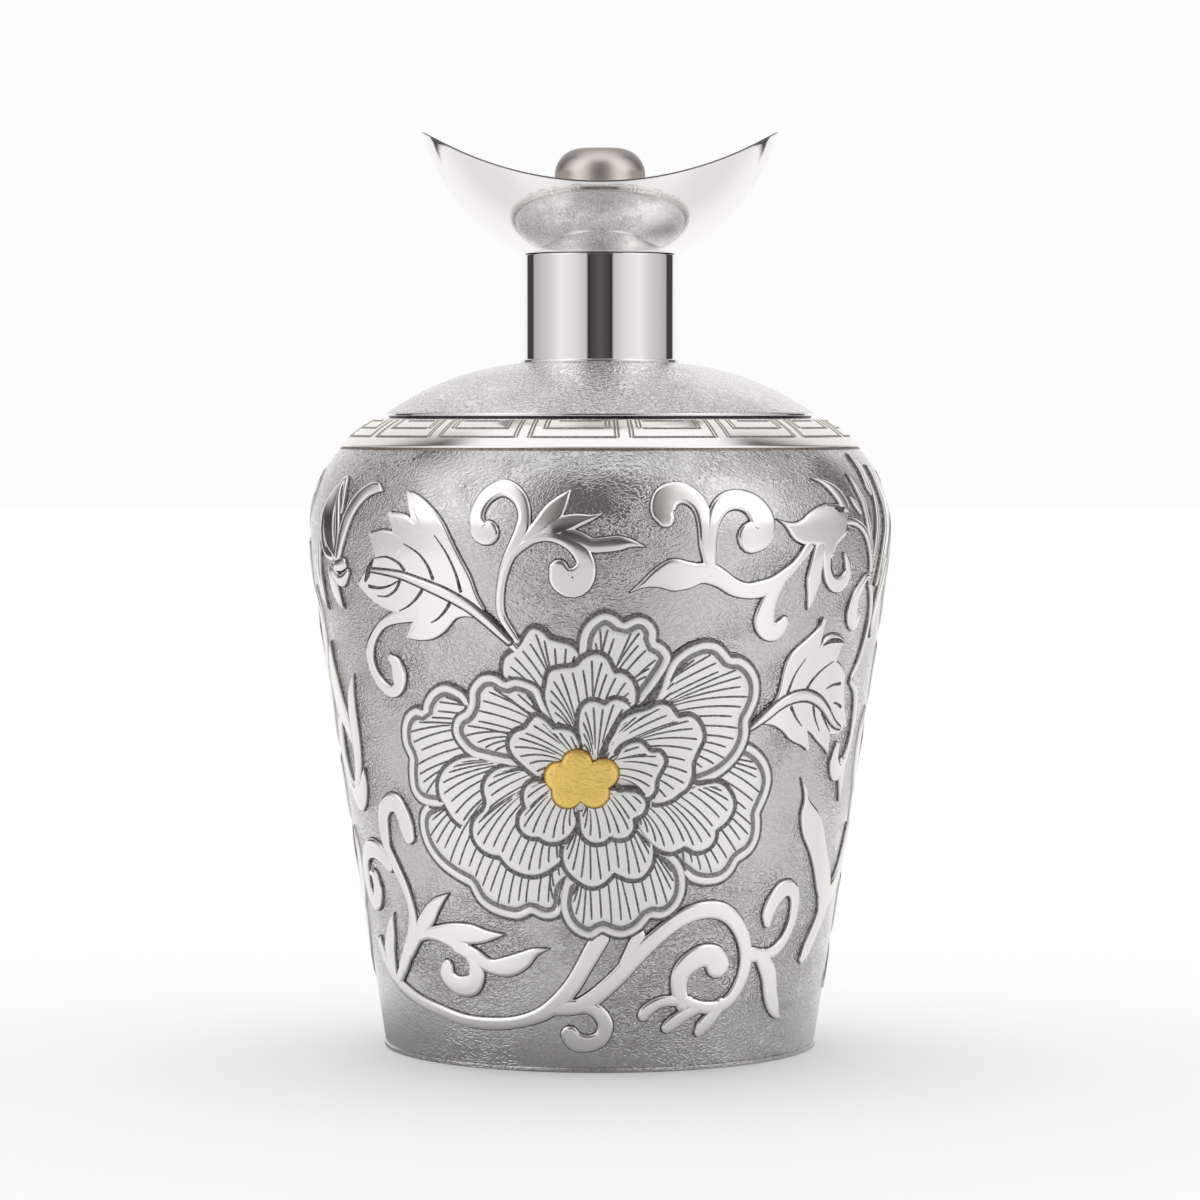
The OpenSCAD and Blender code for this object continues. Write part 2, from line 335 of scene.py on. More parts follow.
@dataclass(frozen=True)
class Stroke:
    """One chased line or blade: turn, height and half width at points along it."""

    path: tuple[WallPoint, ...]
    kind: Chasing = Chasing.SCROLL
    row_gap: ClassVar[float] = 0.45
    cap_shares: ClassVar[Pair] = (0.35, 0.7)
    cap_least: ClassVar[float] = 0.02

    def sheet(self) -> Sheet:
        """Rows across the stroke, rounded off at both ends.

        Returns:
            Rows of turn, height, lift and darkness.
        """
        samples = smooth_path(self.path, self.row_gap)
        rows: Sheet = []
        last = len(samples) - 1
        for i, sample in enumerate(samples):
            before, after = samples[max(0, i - 1)], samples[min(last, i + 1)]
            radius, out, _ = WALL.section(sample[1])
            along = Vector((math.radians(after[0] - before[0]) * radius, (after[1] - before[1]) / out))
            along.normalize()
            if i == 0:
                rows += [self._row(sample, along, -x) for x in reversed(self._cap(sample[2]))]
            rows.append(self._row(sample, along, 0.0))
            if i == last:
                rows += [self._row(sample, along, x) for x in self._cap(sample[2])]
        return rows

    def _cap(self, half: float) -> list[float]:
        """Distances past an end at which its rounding has a row."""
        rings = {half - step[0] for step in self.kind.value.steps} | {half * x for x in self.cap_shares}
        return sorted(ring for ring in rings if ring > self.cap_least)

    def _row(self, sample: WallPoint, along: Vector, past: float) -> list[Quad]:
        """One row across the stroke.

        Args:
            sample: Turn, height and half width of the centre.
            along: Direction of the stroke on the wall.
            past: Distance past the end, for the rounding.

        Returns:
            Turn, height, lift and darkness of each point, left to right.
        """
        half, style = max(0.0, sample[2]), self.kind.value
        across = Vector((-along.y, along.x))
        middle = (0.0, half - abs(past))
        offsets: list[Pair] = []
        for inside, _, _ in style.steps:
            ring = half - inside
            wide = ring > abs(past)
            offsets.append((math.sqrt(ring * ring - past * past), inside) if wide else middle)
        row = []
        for offset, inside in [*offsets, middle, *[(-o, d) for o, d in reversed(offsets)]]:
            row.append((*WALL.moved(sample, along * past + across * offset), *style.at(inside)))
        return row


@dataclass(frozen=True)
class Petal:
    """One petal or leaf: where its veins run to, its layer, and its lobed edge with notches marked.

    A petal runs to its heart. A leaf runs to its spine, a line from its stalk to its tip.
    """

    heart: WallPoint
    layer: float
    edge: tuple[WallPoint, ...]
    rolled: bool = False
    spine: tuple[WallPoint, ...] = ()

    def lobes(self) -> list[list[WallPoint]]:
        """Splits the edge at its notches.

        Returns:
            Turn and height of each lobe's points.
        """
        lobes: list[list[WallPoint]] = [[]]
        for point in self.edge:
            lobes[-1].append(point[:2])
            if len(point) > 2:
                lobes.append([point[:2]])
        return lobes


class PetalSheet:
    """Works out the surface of one petal, and the veins cut in it, from its lobed edge."""

    mm_per_degree: float = 0.718
    mm_per_height: float = 1.0116
    edge_step: float = 0.12
    spine_step: float = 0.5
    base_top: float = 0.5
    layer_step: float = 0.1
    below_rim: float = 0.01
    sink: float = 0.14
    leaf_sink: float = 0.02
    middle: WallPoint = (-4.0, 45.5)
    gathered: float = 0.45
    rim_reach: float = 0.3
    lead_reach: float = 2.8
    square: float = 0.3
    bend: float = 0.45
    droop: float = 0.12
    end_dip: float = 0.3
    dip_reach: float = 1.6
    moat: float = 0.66
    rolled_moat: float = 0.42
    column_gap: float = 0.42
    runs: tuple[float, ...] = (0.04, 0.1, 0.18, 0.28, 0.39, 0.5, 0.61, 0.73, 0.86, 1.0)
    vein_gap: float = 1.75
    vein_half: float = 0.17
    vein_spread: float = 0.9
    vein_step: float = 0.1
    vein_starts: tuple[float, ...] = (0.02, 0.05, 0.0)
    vein_end: float = 0.72
    vein_sway: float = 0.1
    vein_beat: float = 2.4
    vein_clear: Pair = (0.01, 0.02)
    vein_taper: float = 0.5
    vein_tip: float = 0.7
    vein_section: tuple[Pair, ...] = ((-1.25, -0.03), (-0.8, 0.02), (0.0, 0.025), (0.8, 0.02), (1.25, -0.03))

    def __init__(self, petal: Petal) -> None:
        """Samples the petal's edge.

        Args:
            petal: The petal to lay out.
        """
        self.petal = petal
        self.top = self.base_top + self.layer_step * petal.layer
        self.heart = self._flat(petal.heart).lerp(self._flat(self.middle), self.gathered)
        self.edge: list[Vector] = []
        for lobe in petal.lobes():
            run = [self._flat(p) for p in smooth_path(lobe, self.edge_step)]
            self.edge += run if not self.edge else run[1:]
        self.marks = run_lengths(self.edge)
        loop = [*self.edge, self.heart]
        area = sum(a.x * b.y - a.y * b.x for a, b in zip(loop, [*loop[1:], loop[0]]))
        self.hand = 1.0 if area > 0 else -1.0
        self.centre = sum(self.edge, Vector((0.0, 0.0))) / len(self.edge)
        self.spine: list[Vector] = []
        if petal.spine:
            self.spine = [self._flat(p) for p in smooth_path(petal.spine, self.spine_step)]
            gaps = [(spot - self.spine[-1]).length for spot in self.edge]
            self.tip = self.marks[gaps.index(min(gaps))]

    def _flat(self, point: WallPoint) -> Vector:
        """Wall point in millimetres on the unrolled wall."""
        return Vector((point[0] * self.mm_per_degree, point[1] * self.mm_per_height))

    def _place(self, spot: Vector, lift: float, dark: float) -> Quad:
        """Sheet entry for a flat point."""
        return spot.x / self.mm_per_degree, spot.y / self.mm_per_height, lift, dark

    def _spot(self, s: float) -> Vector:
        """Point at a distance along the edge.

        Args:
            s: The distance, held to the edge's length.

        Returns:
            The flat point.
        """
        s = min(max(s, 0.0), self.marks[-1])
        k = min(bisect_right(self.marks, s), len(self.marks) - 1)
        span = self.marks[k] - self.marks[k - 1]
        return self.edge[k - 1].lerp(self.edge[k], (s - self.marks[k - 1]) / max(span, 1e-6))

    def _inward(self, s: float, reach: float) -> Vector:
        """Unit direction into the petal, taken over a stretch of its edge to each side of a place."""
        run = (self._spot(s + reach) - self._spot(s - reach)).normalized()
        return Vector((-run.y, run.x)) * self.hand

    def _inside(self, s: float, depth: float) -> Vector:
        """Flat point at a depth inside the edge."""
        return self._spot(s) + self._inward(s, self.rim_reach) * depth

    def _dip(self, s: float) -> float:
        """How far the petal sinks near the two ends of its edge, to pass under its neighbours."""
        near = max(0.0, 1.0 - min(s, self.marks[-1] - s) / self.dip_reach)
        return 0.0 if self.spine else self.end_dip * near ** 2

    def rim(self) -> list[Triple]:
        """Rows near the edge.

        Returns:
            Distance inside the edge, lift and darkness of each row.
        """
        top = self.top
        if self.spine:
            return [(-0.3, -0.05, 1.0), (-0.1, 0.02, 1.0), (0.0, 0.14, 1.0), (0.07, top - 0.14, 0.2),
                    (0.14, top - 0.04, 0.0), (0.5, top, 0.0)]
        moat = self.rolled_moat if self.petal.rolled else self.moat
        foot = -0.05 if self.petal.layer <= 1 else top - 0.4
        rows = [(-moat - 0.12, foot, 1.0), (-moat, top - 0.08, 1.0), (-0.06, top - 0.075, 1.0),
                (0.06, top - 0.03, 0.7), (0.2, top + 0.02, 0.05), (0.5, top + 0.04, 0.0)]
        if self.petal.rolled:
            rows += [(0.98, top, 0.0), (1.08, top - 0.1, 0.85), (1.75, top - 0.1, 0.9),
                     (1.9, top - 0.03, 0.1)]
        return rows

    def _target(self, s: float) -> Vector:
        """Point that the line from a place on the edge runs to.

        Args:
            s: Distance along the edge where the line starts.

        Returns:
            The heart, or a leaf's place on its spine.
        """
        if not self.spine:
            return self.heart
        share = s / self.tip if s < self.tip else (self.marks[-1] - s) / (self.marks[-1] - self.tip)
        return self.spine[round(min(1.0, share) * (len(self.spine) - 1))]

    def _run(self, s: float, t: float) -> tuple[Vector, float]:
        """Flat point and lift on the line from the rim to the heart, at a share of its length."""
        sink = self.leaf_sink if self.spine else self.sink
        return self._curve(s, t, self._target(s)), self.top - self.below_rim - self._dip(s) - sink * t * t

    def _curve(self, s: float, t: float, target: Vector) -> Vector:
        """Point on the curve from a place on the rim to a target.

        Args:
            s: Distance along the edge where the curve starts.
            t: Share of the way to the target.
            target: Flat point that the curve runs to.

        Returns:
            The flat point.
        """
        start = self._inside(s, self.rim()[-1][0])
        toward = target - start
        lead = self._inward(s, self.lead_reach) * self.square + toward.normalized() * (1 - self.square)
        corner = start + lead * (toward.length * self.bend)
        spot = start * (1 - t) ** 2 + corner * (2 * t * (1 - t)) + target * (t * t)
        if not self.spine:
            lean = -toward.normalized().x
            spot += Vector((toward.y, -toward.x)) * (lean * self.droop * 4 * t * (1 - t))
        return spot

    def _vein_point(self, s: float, t: float) -> tuple[Vector, float]:
        """Point and lift on a vein, which aims past the heart so that veins stay nearly parallel.

        Args:
            s: Distance along the edge where the vein starts.
            t: Share of the way to the heart.

        Returns:
            Flat point and lift.
        """
        start, lift = self._run(s, 0.0)[0], self._run(s, t)[1]
        spread = self.vein_spread * math.sin(math.pi * s / self.marks[-1])
        target = self.heart + (self.heart - self.centre) * spread
        share = t * (self.heart - start).length / (target - start).length
        return self._curve(s, share, target), lift

    def sheet(self) -> Sheet:
        """Rows of the petal from its outer skirt to its heart.

        Returns:
            Rows of turn, height, lift and darkness.
        """
        count = math.ceil(self.marks[-1] / self.column_gap)
        places = [self.marks[-1] * i / count for i in range(count + 1)]
        rows: Sheet = []
        for depth, lift, dark in self.rim():
            rows.append([self._place(self._inside(s, depth), lift - self._dip(s), dark) for s in places])
        for t in self.runs:
            rows.append([self._place(*self._run(s, t), 0.0) for s in places])
        return rows

    def veins(self) -> list[Sheet]:
        """Tapered dark lines from the rim towards the heart.

        Returns:
            One sheet for each vein.
        """
        places = [self.vein_step * i for i in range(int(self.marks[-1] / self.vein_step) + 1)]
        lengths = run_lengths([self._run(s, 0.0)[0] for s in places])
        count = max(3, round(lengths[-1] / self.vein_gap))
        sheets: list[Sheet] = []
        for k in range(count):
            s = places[bisect_right(lengths, lengths[-1] * (k + 0.5) / count) - 1]
            first = self.vein_starts[k % len(self.vein_starts)]
            end = self.vein_end + self.vein_sway * math.sin(k * self.vein_beat + self.petal.layer)
            after, before = self.vein_clear
            between = [t for t in self.runs if first + after < t < end - before]
            sheets.append(self._vein_sheet([(t, *self._vein_point(s, t)) for t in (first, *between, end)]))
        return sheets

    def _vein_sheet(self, line: list[tuple[float, Vector, float]]) -> Sheet:
        """Rows across one vein, thinning towards its inner end.

        Args:
            line: Share of the way, flat point and lift at places along the vein.

        Returns:
            Rows of turn, height, lift and darkness.
        """
        rows: Sheet = []
        for i, (t, spot, lift) in enumerate(line):
            before, after = line[max(0, i - 1)][1], line[min(len(line) - 1, i + 1)][1]
            along = (after - before).normalized()
            across = Vector((-along.y, along.x))
            share = (t - line[0][0]) / (line[-1][0] - line[0][0])
            half = self.vein_half * (1.0 - self.vein_taper * share ** 2)
            half *= self.vein_tip if i == 0 else 1.0
            rows.append([self._place(spot + across * (half * side), lift + rise, 1.0)
                         for side, rise in self.vein_section])
        return rows


def scroll(*path: WallPoint) -> Stroke:
    """A raised scroll or blade."""
    return Stroke(path)


def tendril(*path: WallPoint) -> Stroke:
    """A low scroll on the sides, between the two faces."""
    return Stroke(path, Chasing.VINE)


def rib(*path: WallPoint) -> Stroke:
    """A raised midrib on a leaf."""
    return Stroke(path, Chasing.RIB)


def vein(*path: WallPoint) -> Stroke:
    """A dark vein cut in a leaf, thinning towards its last point.

    Args:
        *path: Turn and height of each point.

    Returns:
        The stroke.
    """
    last = len(path) - 1
    return Stroke(tuple((*point, LEAF_VEIN_HALF - LEAF_VEIN_TAPER * i / last)
                        for i, point in enumerate(path)), Chasing.VEIN)


UPPER_SCROLLS = (
    scroll((-16.2, 66.5, .5), (-18.3, 69, .6), (-19.3, 71, .65), (-19, 74.5, .65), (-17.8, 78, .8),
           (-16, 80.8, 1), (-14.6, 83, 1.15), (-14.2, 85.3, 1), (-15.1, 87.5, 1.1), (-17, 88.9, 1.25),
           (-19.2, 89.3, 1.35), (-21.6, 88.4, 1.3), (-23.2, 86.6, 1.15), (-23.7, 84.6, 1.3),
           (-22.6, 82.9, 1.8), (-21.4, 82.7, 1.85)),
    scroll((-14, 81.8, .8), (-11.5, 83.5, 1.2), (-9, 85.5, 1.6), (-7.3, 87.3, 1.1), (-5.4, 89.2, 0)),
    scroll((-9, 83.3, 1.5), (-6.5, 84, 1.4), (-4, 84.6, 1), (-1.5, 85, .45), (.8, 85.8, 0)),
    scroll((-6.5, 82.3, 1.4), (-4, 81.8, 1.2), (-1.5, 80.9, 1.1), (1, 81, 1.15), (3.5, 81.2, 1.1),
           (5.8, 81.2, .6), (8.6, 80.6, 0)),
    scroll((-17.5, 78.6, .6), (-15.3, 80.4, .7), (-12.5, 81.8, .7), (-9.5, 82.3, .85), (-6.5, 81.8, 1.1),
           (-4, 80.4, 1.3), (-2.7, 78.3, 1.4), (-3.3, 76.4, 2), (-5, 75.3, 2.3), (-7, 76, 2.1),
           (-7.7, 77.3, 1.5)),
    scroll((20.8, 78, .9), (20, 81, 1), (19.8, 84, 1.1), (19.2, 86.5, 1.3), (17.4, 88.1, 1.5),
           (15, 88.6, 1.7), (12.6, 87.8, 2), (11.8, 86, 1.9), (12.3, 84.9, 1.4)),
    scroll((20.9, 77.5, 1), (20.9, 80, 1), (21.2, 83, 1), (22.3, 85.6, 1.25), (24.5, 87.2, 1.45),
           (27.5, 87.5, 1.6), (30.3, 86.6, 1.9), (32, 84.6, 2.2), (31.6, 82.6, 2.4), (29.6, 81.9, 2.4)),
    scroll((5.5, 73.8, 0), (8, 75, .5), (10.5, 75.9, 1.4), (13.5, 76.4, 2.4), (16.5, 76.4, 2.1),
           (19.3, 76.6, 1.5), (22, 76.3, 1.4)),
    scroll((18.5, 76.8, 1.4), (21, 76.6, 1.6), (23.5, 75.7, 1.4), (26, 74.5, 1.3), (29, 73.9, 1.2),
           (32, 74.1, 1.3), (35, 74.9, 1.1), (38, 76.4, .9), (40.5, 78, .7), (43.5, 80.5, .9)),
    scroll((36.5, 75.2, 1), (34.8, 73.2, 1.3), (33.8, 71, 1.6), (33.6, 69, 1.9), (35, 67.7, 1.6),
           (37.1, 67.8, 1.4), (38.5, 69, .9)),
    scroll((35.3, 84.6, 0), (37.5, 83.8, .35), (40, 82.8, 1.4), (42.3, 82.6, 2.05), (44.7, 83, 2.6),
           (47, 83.3, 3.05), (49.5, 83.4, 3.4), (52, 83.9, 2.8)),
    scroll((49.5, 82, 2), (48.8, 79.5, 1.5), (48.3, 77.2, .6)),
    scroll((55, 86.3, 1.1), (53.6, 87.9, 1.1), (51.5, 89.2, .75), (49, 90.1, .3), (46.3, 90.6, 0)),
    scroll((57.3, 87.8, 0), (59, 86.6, .5), (60.8, 85.2, .3)),
    scroll((59.5, 91.2, 0), (61.2, 89, .45), (62.6, 87, .6), (63.3, 85, .6), (64.2, 82.6, .6),
           (65.4, 80, .6), (66.3, 77.6, .4)),
    scroll((66, 94, .4), (67.5, 91.6, 1.1), (67.3, 89.6, .9), (68, 88, .3)),
    scroll((69, 90, .2), (69.2, 86, .6), (68.6, 82, .6), (67, 78.6, .3)),
    scroll((73, 92.5, 0), (75, 89, 1.2), (76.5, 86, 1.7), (76, 82, 1.5), (73.5, 78.5, 1), (70.5, 74, .4)),
    scroll((76.5, 78.5, 0), (75.5, 75.5, 1), (73.5, 72, 1.2), (72, 68.5, .9), (72.5, 65.5, 0)),
    scroll((50, 79, .5), (50.5, 81, .42), (51.2, 82.4, .5), (53.3, 83.6, .55), (56.3, 84, .6),
           (59.8, 83.4, .6), (62.6, 82.1, .6), (64.5, 80.3, .6), (65.6, 78.3, .5), (66, 76.3, .4)),
    scroll((48.6, 79, 1.2), (48.9, 77, 1), (50, 75.3, 1.1), (51.6, 74.5, 1.2), (53.4, 74.4, 1.3),
           (55, 75, 1.2), (55.9, 76.3, 1), (55.6, 77.8, .8), (54.6, 78.8, .4)),
    scroll((46.5, 80, 1.3), (45.6, 77.2, 1.4), (45.2, 75.4, 1.55), (45, 73.2, 1), (44.7, 71.7, .5),
           (44.4, 70.6, 0)),
    scroll((66, 75.2, .3), (64.2, 75.3, .5), (61.8, 73.6, .9), (60.2, 72, 1.3), (59.7, 70.3, 1.6),
           (60.3, 68.8, 1.6), (61.6, 68.2, 1.2), (62.8, 69.3, .7)),
    scroll((66.3, 74, .4), (68, 72.5, .5), (69.3, 70, .55), (69, 67, .55), (68, 64.4, .55),
           (66.3, 61.8, .5), (63.5, 59.6, .2)),
    Stroke(((51.2, 86, .15), (53, 85.7, .4), (54.3, 86, .1)), Chasing.VEIN),
)

LEFT_LEAF = (
    scroll((-38.5, 70.2, 1.2), (-42.2, 69.8, 1.1), (-45.5, 69.2, .9), (-48.2, 68.3, .8), (-50.6, 66.8, .85),
           (-52.6, 65, .95), (-53.2, 63.3, .95), (-52.4, 61, .95), (-50.3, 59, .95), (-47.5, 58.1, 1),
           (-45.2, 58.9, 1.2), (-44.6, 60.8, 1.5), (-45.2, 62.4, 1.2), (-46.6, 63.3, .6)),
    scroll((-16.5, 65.2, .5), (-18.2, 66.6, .7), (-20.6, 68.4, .75), (-22.7, 69.8, .8), (-25.4, 71.4, .8)),
    rib((-17.8, 66.4, .4), (-20.6, 68.4, .55), (-22.7, 69.8, .6), (-25.4, 71.4, .65), (-28.2, 72.6, .7),
        (-31, 73.6, .7), (-34.2, 74.5, .62), (-37.3, 75.3, .52), (-40.6, 76, .42), (-44, 76.4, .3),
        (-49, 76.7, .15)),
    vein((-27.2, 73.9), (-28.1, 76.7), (-30, 79.7), (-32.5, 82.2)),
    vein((-33.2, 75.7), (-34.3, 77.7), (-36.4, 79.5), (-39.7, 80.8)),
    vein((-40, 76.9), (-41.5, 78), (-44.6, 78.8), (-47.6, 78.5)),
    vein((-50.2, 74.2), (-47.2, 74), (-44.2, 74.4), (-41.7, 75.2)),
    vein((-41.3, 75.2), (-42.6, 73.8), (-45.2, 72.8), (-48, 72.8)),
    vein((-36, 73.8), (-37.5, 72.6), (-39.7, 71.4), (-42.2, 70.6)),
    vein((-29.9, 71.9), (-31, 70.8), (-32.8, 69.6), (-34.4, 69)),
    Stroke(((-48.3, 78.3, .16), (-49.4, 77.2, .42), (-50.4, 76, .5), (-51.3, 75, .2)), Chasing.VEIN),
)

LEFT_BLADE = Petal((-35, 75), .4, (
    (-22.4, 71.2), (-23.8, 73.2), (-25, 76), (-26.7, 78.5), (-28.8, 81.5), (-30.6, 84), (-33, 86),
    (-35.7, 87.5), (-38.2, 88.4), (-40.4, 88.7, 1), (-38.8, 86.5), (-36.6, 83.9, 1), (-38.6, 84.9),
    (-40.7, 85.4), (-44.4, 85.6, 1), (-42.7, 84.3), (-40.3, 82.1, 1), (-42.4, 82.6), (-45.1, 82.9),
    (-47.5, 82.7), (-49.9, 82.3, 1), (-47.5, 81.1), (-45.1, 79.7, 1), (-46.9, 79.3), (-48.6, 78.5),
    (-50.5, 77.2), (-52.6, 75.8), (-54.8, 74.7, 1), (-52.6, 73.4), (-50, 72), (-47.3, 71.1), (-44.5, 70.4),
    (-41, 69.6), (-38.4, 69.1, 1), (-40, 67.8), (-41.5, 66.5, 1), (-39, 66.2), (-36.6, 66.2), (-34, 66.6),
    (-31.8, 67.5), (-30.3, 68.5), (-28.8, 69.6), (-26.8, 70), (-24, 69.8)),
    spine=((-22.7, 70.4), (-28.2, 72.6), (-34.2, 74.5), (-40.6, 75.8), (-47, 75.8), (-54.4, 74.7)))

LEFT_EDGE = (
    scroll((-61.4, 78.4, .8), (-60.1, 80.5, 1), (-58.6, 82.6, 1.1), (-56.6, 85.3, 1.2), (-54.4, 87.3, 1.2),
           (-51.7, 88.7, 1.1), (-49.3, 89.1, .9), (-46.9, 88.6, 0)),
    scroll((-62.6, 78.8, .8), (-64.8, 81.6, 2), (-65.4, 85, 2.3), (-64, 88, 1.6), (-62, 90.3, 0)),
    scroll((-62.4, 78.6, .8), (-61, 82, .85), (-61.3, 85, .8), (-62.5, 87.3, .8), (-63, 89.3, .75),
           (-61.8, 90.3, .6), (-60.6, 88.9, .5), (-59.6, 86.8, .4), (-59.8, 85.2, .2)),
    scroll((-62.5, 87.5, .7), (-65, 88, .9), (-67.8, 85.5, 1), (-68.6, 82, 1), (-67, 79.4, 1),
           (-64, 78.6, .9)),
    scroll((-62, 77.2, 1), (-60.2, 77.3, 1.1), (-59, 77.4, .9)),
    scroll((-64, 76.2, .8), (-62, 75, .9), (-59.8, 74.9, 1), (-57.6, 76.2, .5)),
    scroll((-65, 76, 1.1), (-64, 73.6, 1.4), (-62.6, 71.7, .9), (-61.2, 70.4, 0)),
    scroll((-71, 80, .6), (-72.5, 76.5, 1.2), (-72, 73, 1.2), (-70, 70, 0)),
    scroll((-61.3, 60.2, 0), (-63.3, 57.5, .9), (-64.4, 54.5, 1.4), (-64.6, 51.5, 1.5), (-64.8, 48.5, 1.4),
           (-65.4, 46, 1.2), (-67, 43.4, 1.1), (-68.5, 41, 1.2)),
    scroll((-68.6, 42.5, .9), (-68.6, 40.4, 1.5), (-66.6, 40.4, 1.8), (-64.9, 41.8, 1.5), (-63.4, 43.7, .9),
           (-62.5, 45.5, 0)),
    scroll((-72.3, 65, 0), (-73.4, 61.5, 1.5), (-73, 58, 2.2), (-71.5, 55, 2.2), (-68.8, 52.5, 1.6),
           (-67, 50, .9)),
    scroll((-70.5, 53.2, .6), (-73.8, 52, 1), (-75, 48.5, 1.2), (-74, 45, 1.2), (-72, 42.2, 1.2),
           (-69, 40.4, 1.4)),
)

LOWER_SCROLLS = (
    scroll((-47.6, 35.6, 1.3), (-48, 37, 1.6), (-48.8, 39, 1.6), (-51, 40.6, 1.55), (-54.3, 40.2, 1.5),
           (-56.4, 38.4, 1.4), (-56.9, 36.5, 1.35), (-56.6, 33.5, 1.1), (-54, 30.6, 1), (-51.4, 27.6, .92),
           (-49.9, 24.5, .8), (-50, 21.7, 1), (-52, 18.5, 1.2), (-56.5, 14.5, 1.2)),
    scroll((-56.7, 30.6, 1.2), (-60, 32.2, 1.5), (-64.5, 32.8, 1.6), (-68.8, 31.6, 1.4), (-70.8, 29, 1.3),
           (-70.4, 26, 1.3), (-68.4, 24.2, 1.3), (-65.6, 24.6, 1.5), (-64.4, 26.8, 1.4), (-65.6, 28.5, 1),
           (-67.6, 28.7, .4)),
    scroll((-57.9, 23, 0), (-59.6, 21.2, .8), (-61, 19, 1.4), (-62.6, 16.5, 1.7), (-62.5, 13.5, 1.4),
           (-60.5, 12, .8)),
    scroll((-68.5, 18, .8), (-65, 14.5, .9), (-59.5, 11.8, 1), (-52, 9.8, 1), (-44, 8.5, 1), (-36, 7.4, 1),
           (-28, 7.2, 1), (-21, 7.7, .95), (-15, 8.9, 1.1), (-10.5, 10.8, 1.3), (-6.6, 13.6, 1.3),
           (-3.8, 16.6, 1.3), (-1.3, 19.5, 1.4), (0, 21, 1.4)),
    scroll((-60, 12, 1), (-55, 15.5, 1), (-51.5, 18.6, 1.1), (-47, 20.3, 1), (-42, 20.4, 1),
           (-37.5, 19.7, 1.2), (-33.5, 18.5, 1.3)),
    scroll((-52.5, 17, .9), (-48.5, 20, 1.1), (-44.5, 23, 1.5), (-41.3, 25.2, 1.1), (-36.8, 27.2, 0)),
    scroll((-48, 20, 1), (-43, 20.8, 1), (-37, 21, 1.6), (-31.5, 21, 1.6), (-27.5, 20.9, 1),
           (-22.5, 21.3, 0)),
    scroll((-36, 19, 1.3), (-31, 17.6, 1.3), (-27, 16.2, 1.2), (-22.5, 16.3, 1.6), (-18.7, 17.3, 1.4),
           (-15.5, 18.7, .7), (-11.8, 19.3, 0)),
    scroll((-33.5, 18.6, 1), (-31.3, 16.5, 1.2), (-31, 14.5, 1.4), (-33, 13, 1.7), (-36.8, 12.8, 1.6),
           (-39.7, 14, 1.5), (-39.6, 15.7, 1.1)),
    scroll((-17, 8.6, .6), (-11, 9.9, 1), (-5.5, 10.5, 1.1), (-1.3, 9.9, 1.1), (1.2, 7.9, 1.2),
           (.5, 5.7, 1.2), (-2.5, 4.7, 1.3), (-6, 4.9, 1.5), (-7.5, 6, 1.4)),
    scroll((-12, 9.6, .7), (-7, 10.1, 1.1), (-3.5, 10.9, 1.3), (0, 12.5, 1.3), (4.5, 15.2, 1.3),
           (9, 18.5, 1.35), (13.5, 21.3, 1.3), (18.5, 23.7, 1.3), (24, 25, 1.4), (29.5, 24.6, 1.4),
           (34, 22.2, 1.3), (36.8, 18.5, 1.2), (37, 14.8, 1.1), (34.5, 11.5, 1), (31, 9.9, 1), (26, 9.8, 1),
           (22, 10.6, 1)),
    scroll((6, 17, 1), (7.6, 19.4, 1), (9, 21.5, 1)),
    scroll((20.5, 10.5, 1.2), (19.3, 12.8, 1.3), (19.6, 15.2, 1.5), (21.8, 16.9, 1.7), (25, 17.9, 1.8),
           (28, 17.5, 2), (29.2, 16.2, 2)),
    scroll((22, 10.8, 1), (18.5, 11.1, .9), (14.5, 10.9, .9), (11.5, 9.7, 1), (10.6, 8.9, .9)),
    scroll((25.5, 10, .9), (21.5, 9, 1), (18.2, 7.7, 1.1), (16.7, 6.9, .9)),
    scroll((31, 10.2, 1), (28.5, 8.3, 1.1), (26.2, 6.9, 1.1), (25.2, 5.9, .7)),
    scroll((39, 17.5, 1.3), (43, 17.3, .95), (47, 17.9, .95), (50, 19.8, .95), (51.9, 22.5, 1),
           (52, 25.3, 1.1), (50.2, 27.2, 1.3), (47, 27.3, 1.4), (44.2, 25.7, 1.4), (42.8, 23.7, 1.2),
           (42.9, 22.3, .8)),
    scroll((42.3, 17, 1.4), (45.4, 14, 1.6), (46.8, 11, 1.5), (48.6, 8.8, 1.3), (50.4, 7.4, .6),
           (52.2, 7, 0)),
)

RIGHT_BLADE = Petal((48, 57), .4, (
    (36.6, 55.4), (37.7, 56.6), (38.8, 58.1), (39.3, 59.9), (39.7, 61.9), (40.4, 63.4), (42.1, 64.7),
    (44.3, 65.8), (46.3, 66.8), (48.1, 67.8), (49.7, 69.5, 1), (49.9, 67.2), (49.2, 64.7, 1), (50.5, 66.1),
    (52.3, 66.7), (54.3, 66.8), (57, 66.3), (58.2, 65.6, 1), (56, 64.4), (54.7, 63, 1), (57.5, 62.2),
    (59.3, 61.1), (60.4, 60.1), (60.7, 58.4), (61.3, 56.6), (62.3, 54.8), (63.8, 53.3), (64.8, 52, 1),
    (62.2, 51.4), (60.7, 51), (58, 50.9), (55.8, 51, 1), (56.3, 49.8), (57.3, 48, 1), (55.3, 49),
    (52.4, 50.2), (50.1, 51.4), (48.4, 52, 1), (49, 50.5), (49.7, 48.7, 1), (47.6, 49.6), (45.3, 50.2),
    (43.1, 50.9), (41.6, 51.8), (39.9, 52.6), (37.8, 53.2), (35.3, 53.4)),
    spine=((36, 54.6), (41.8, 56.8), (48, 57), (54.3, 55.4), (58.4, 53.6), (64.6, 52)))

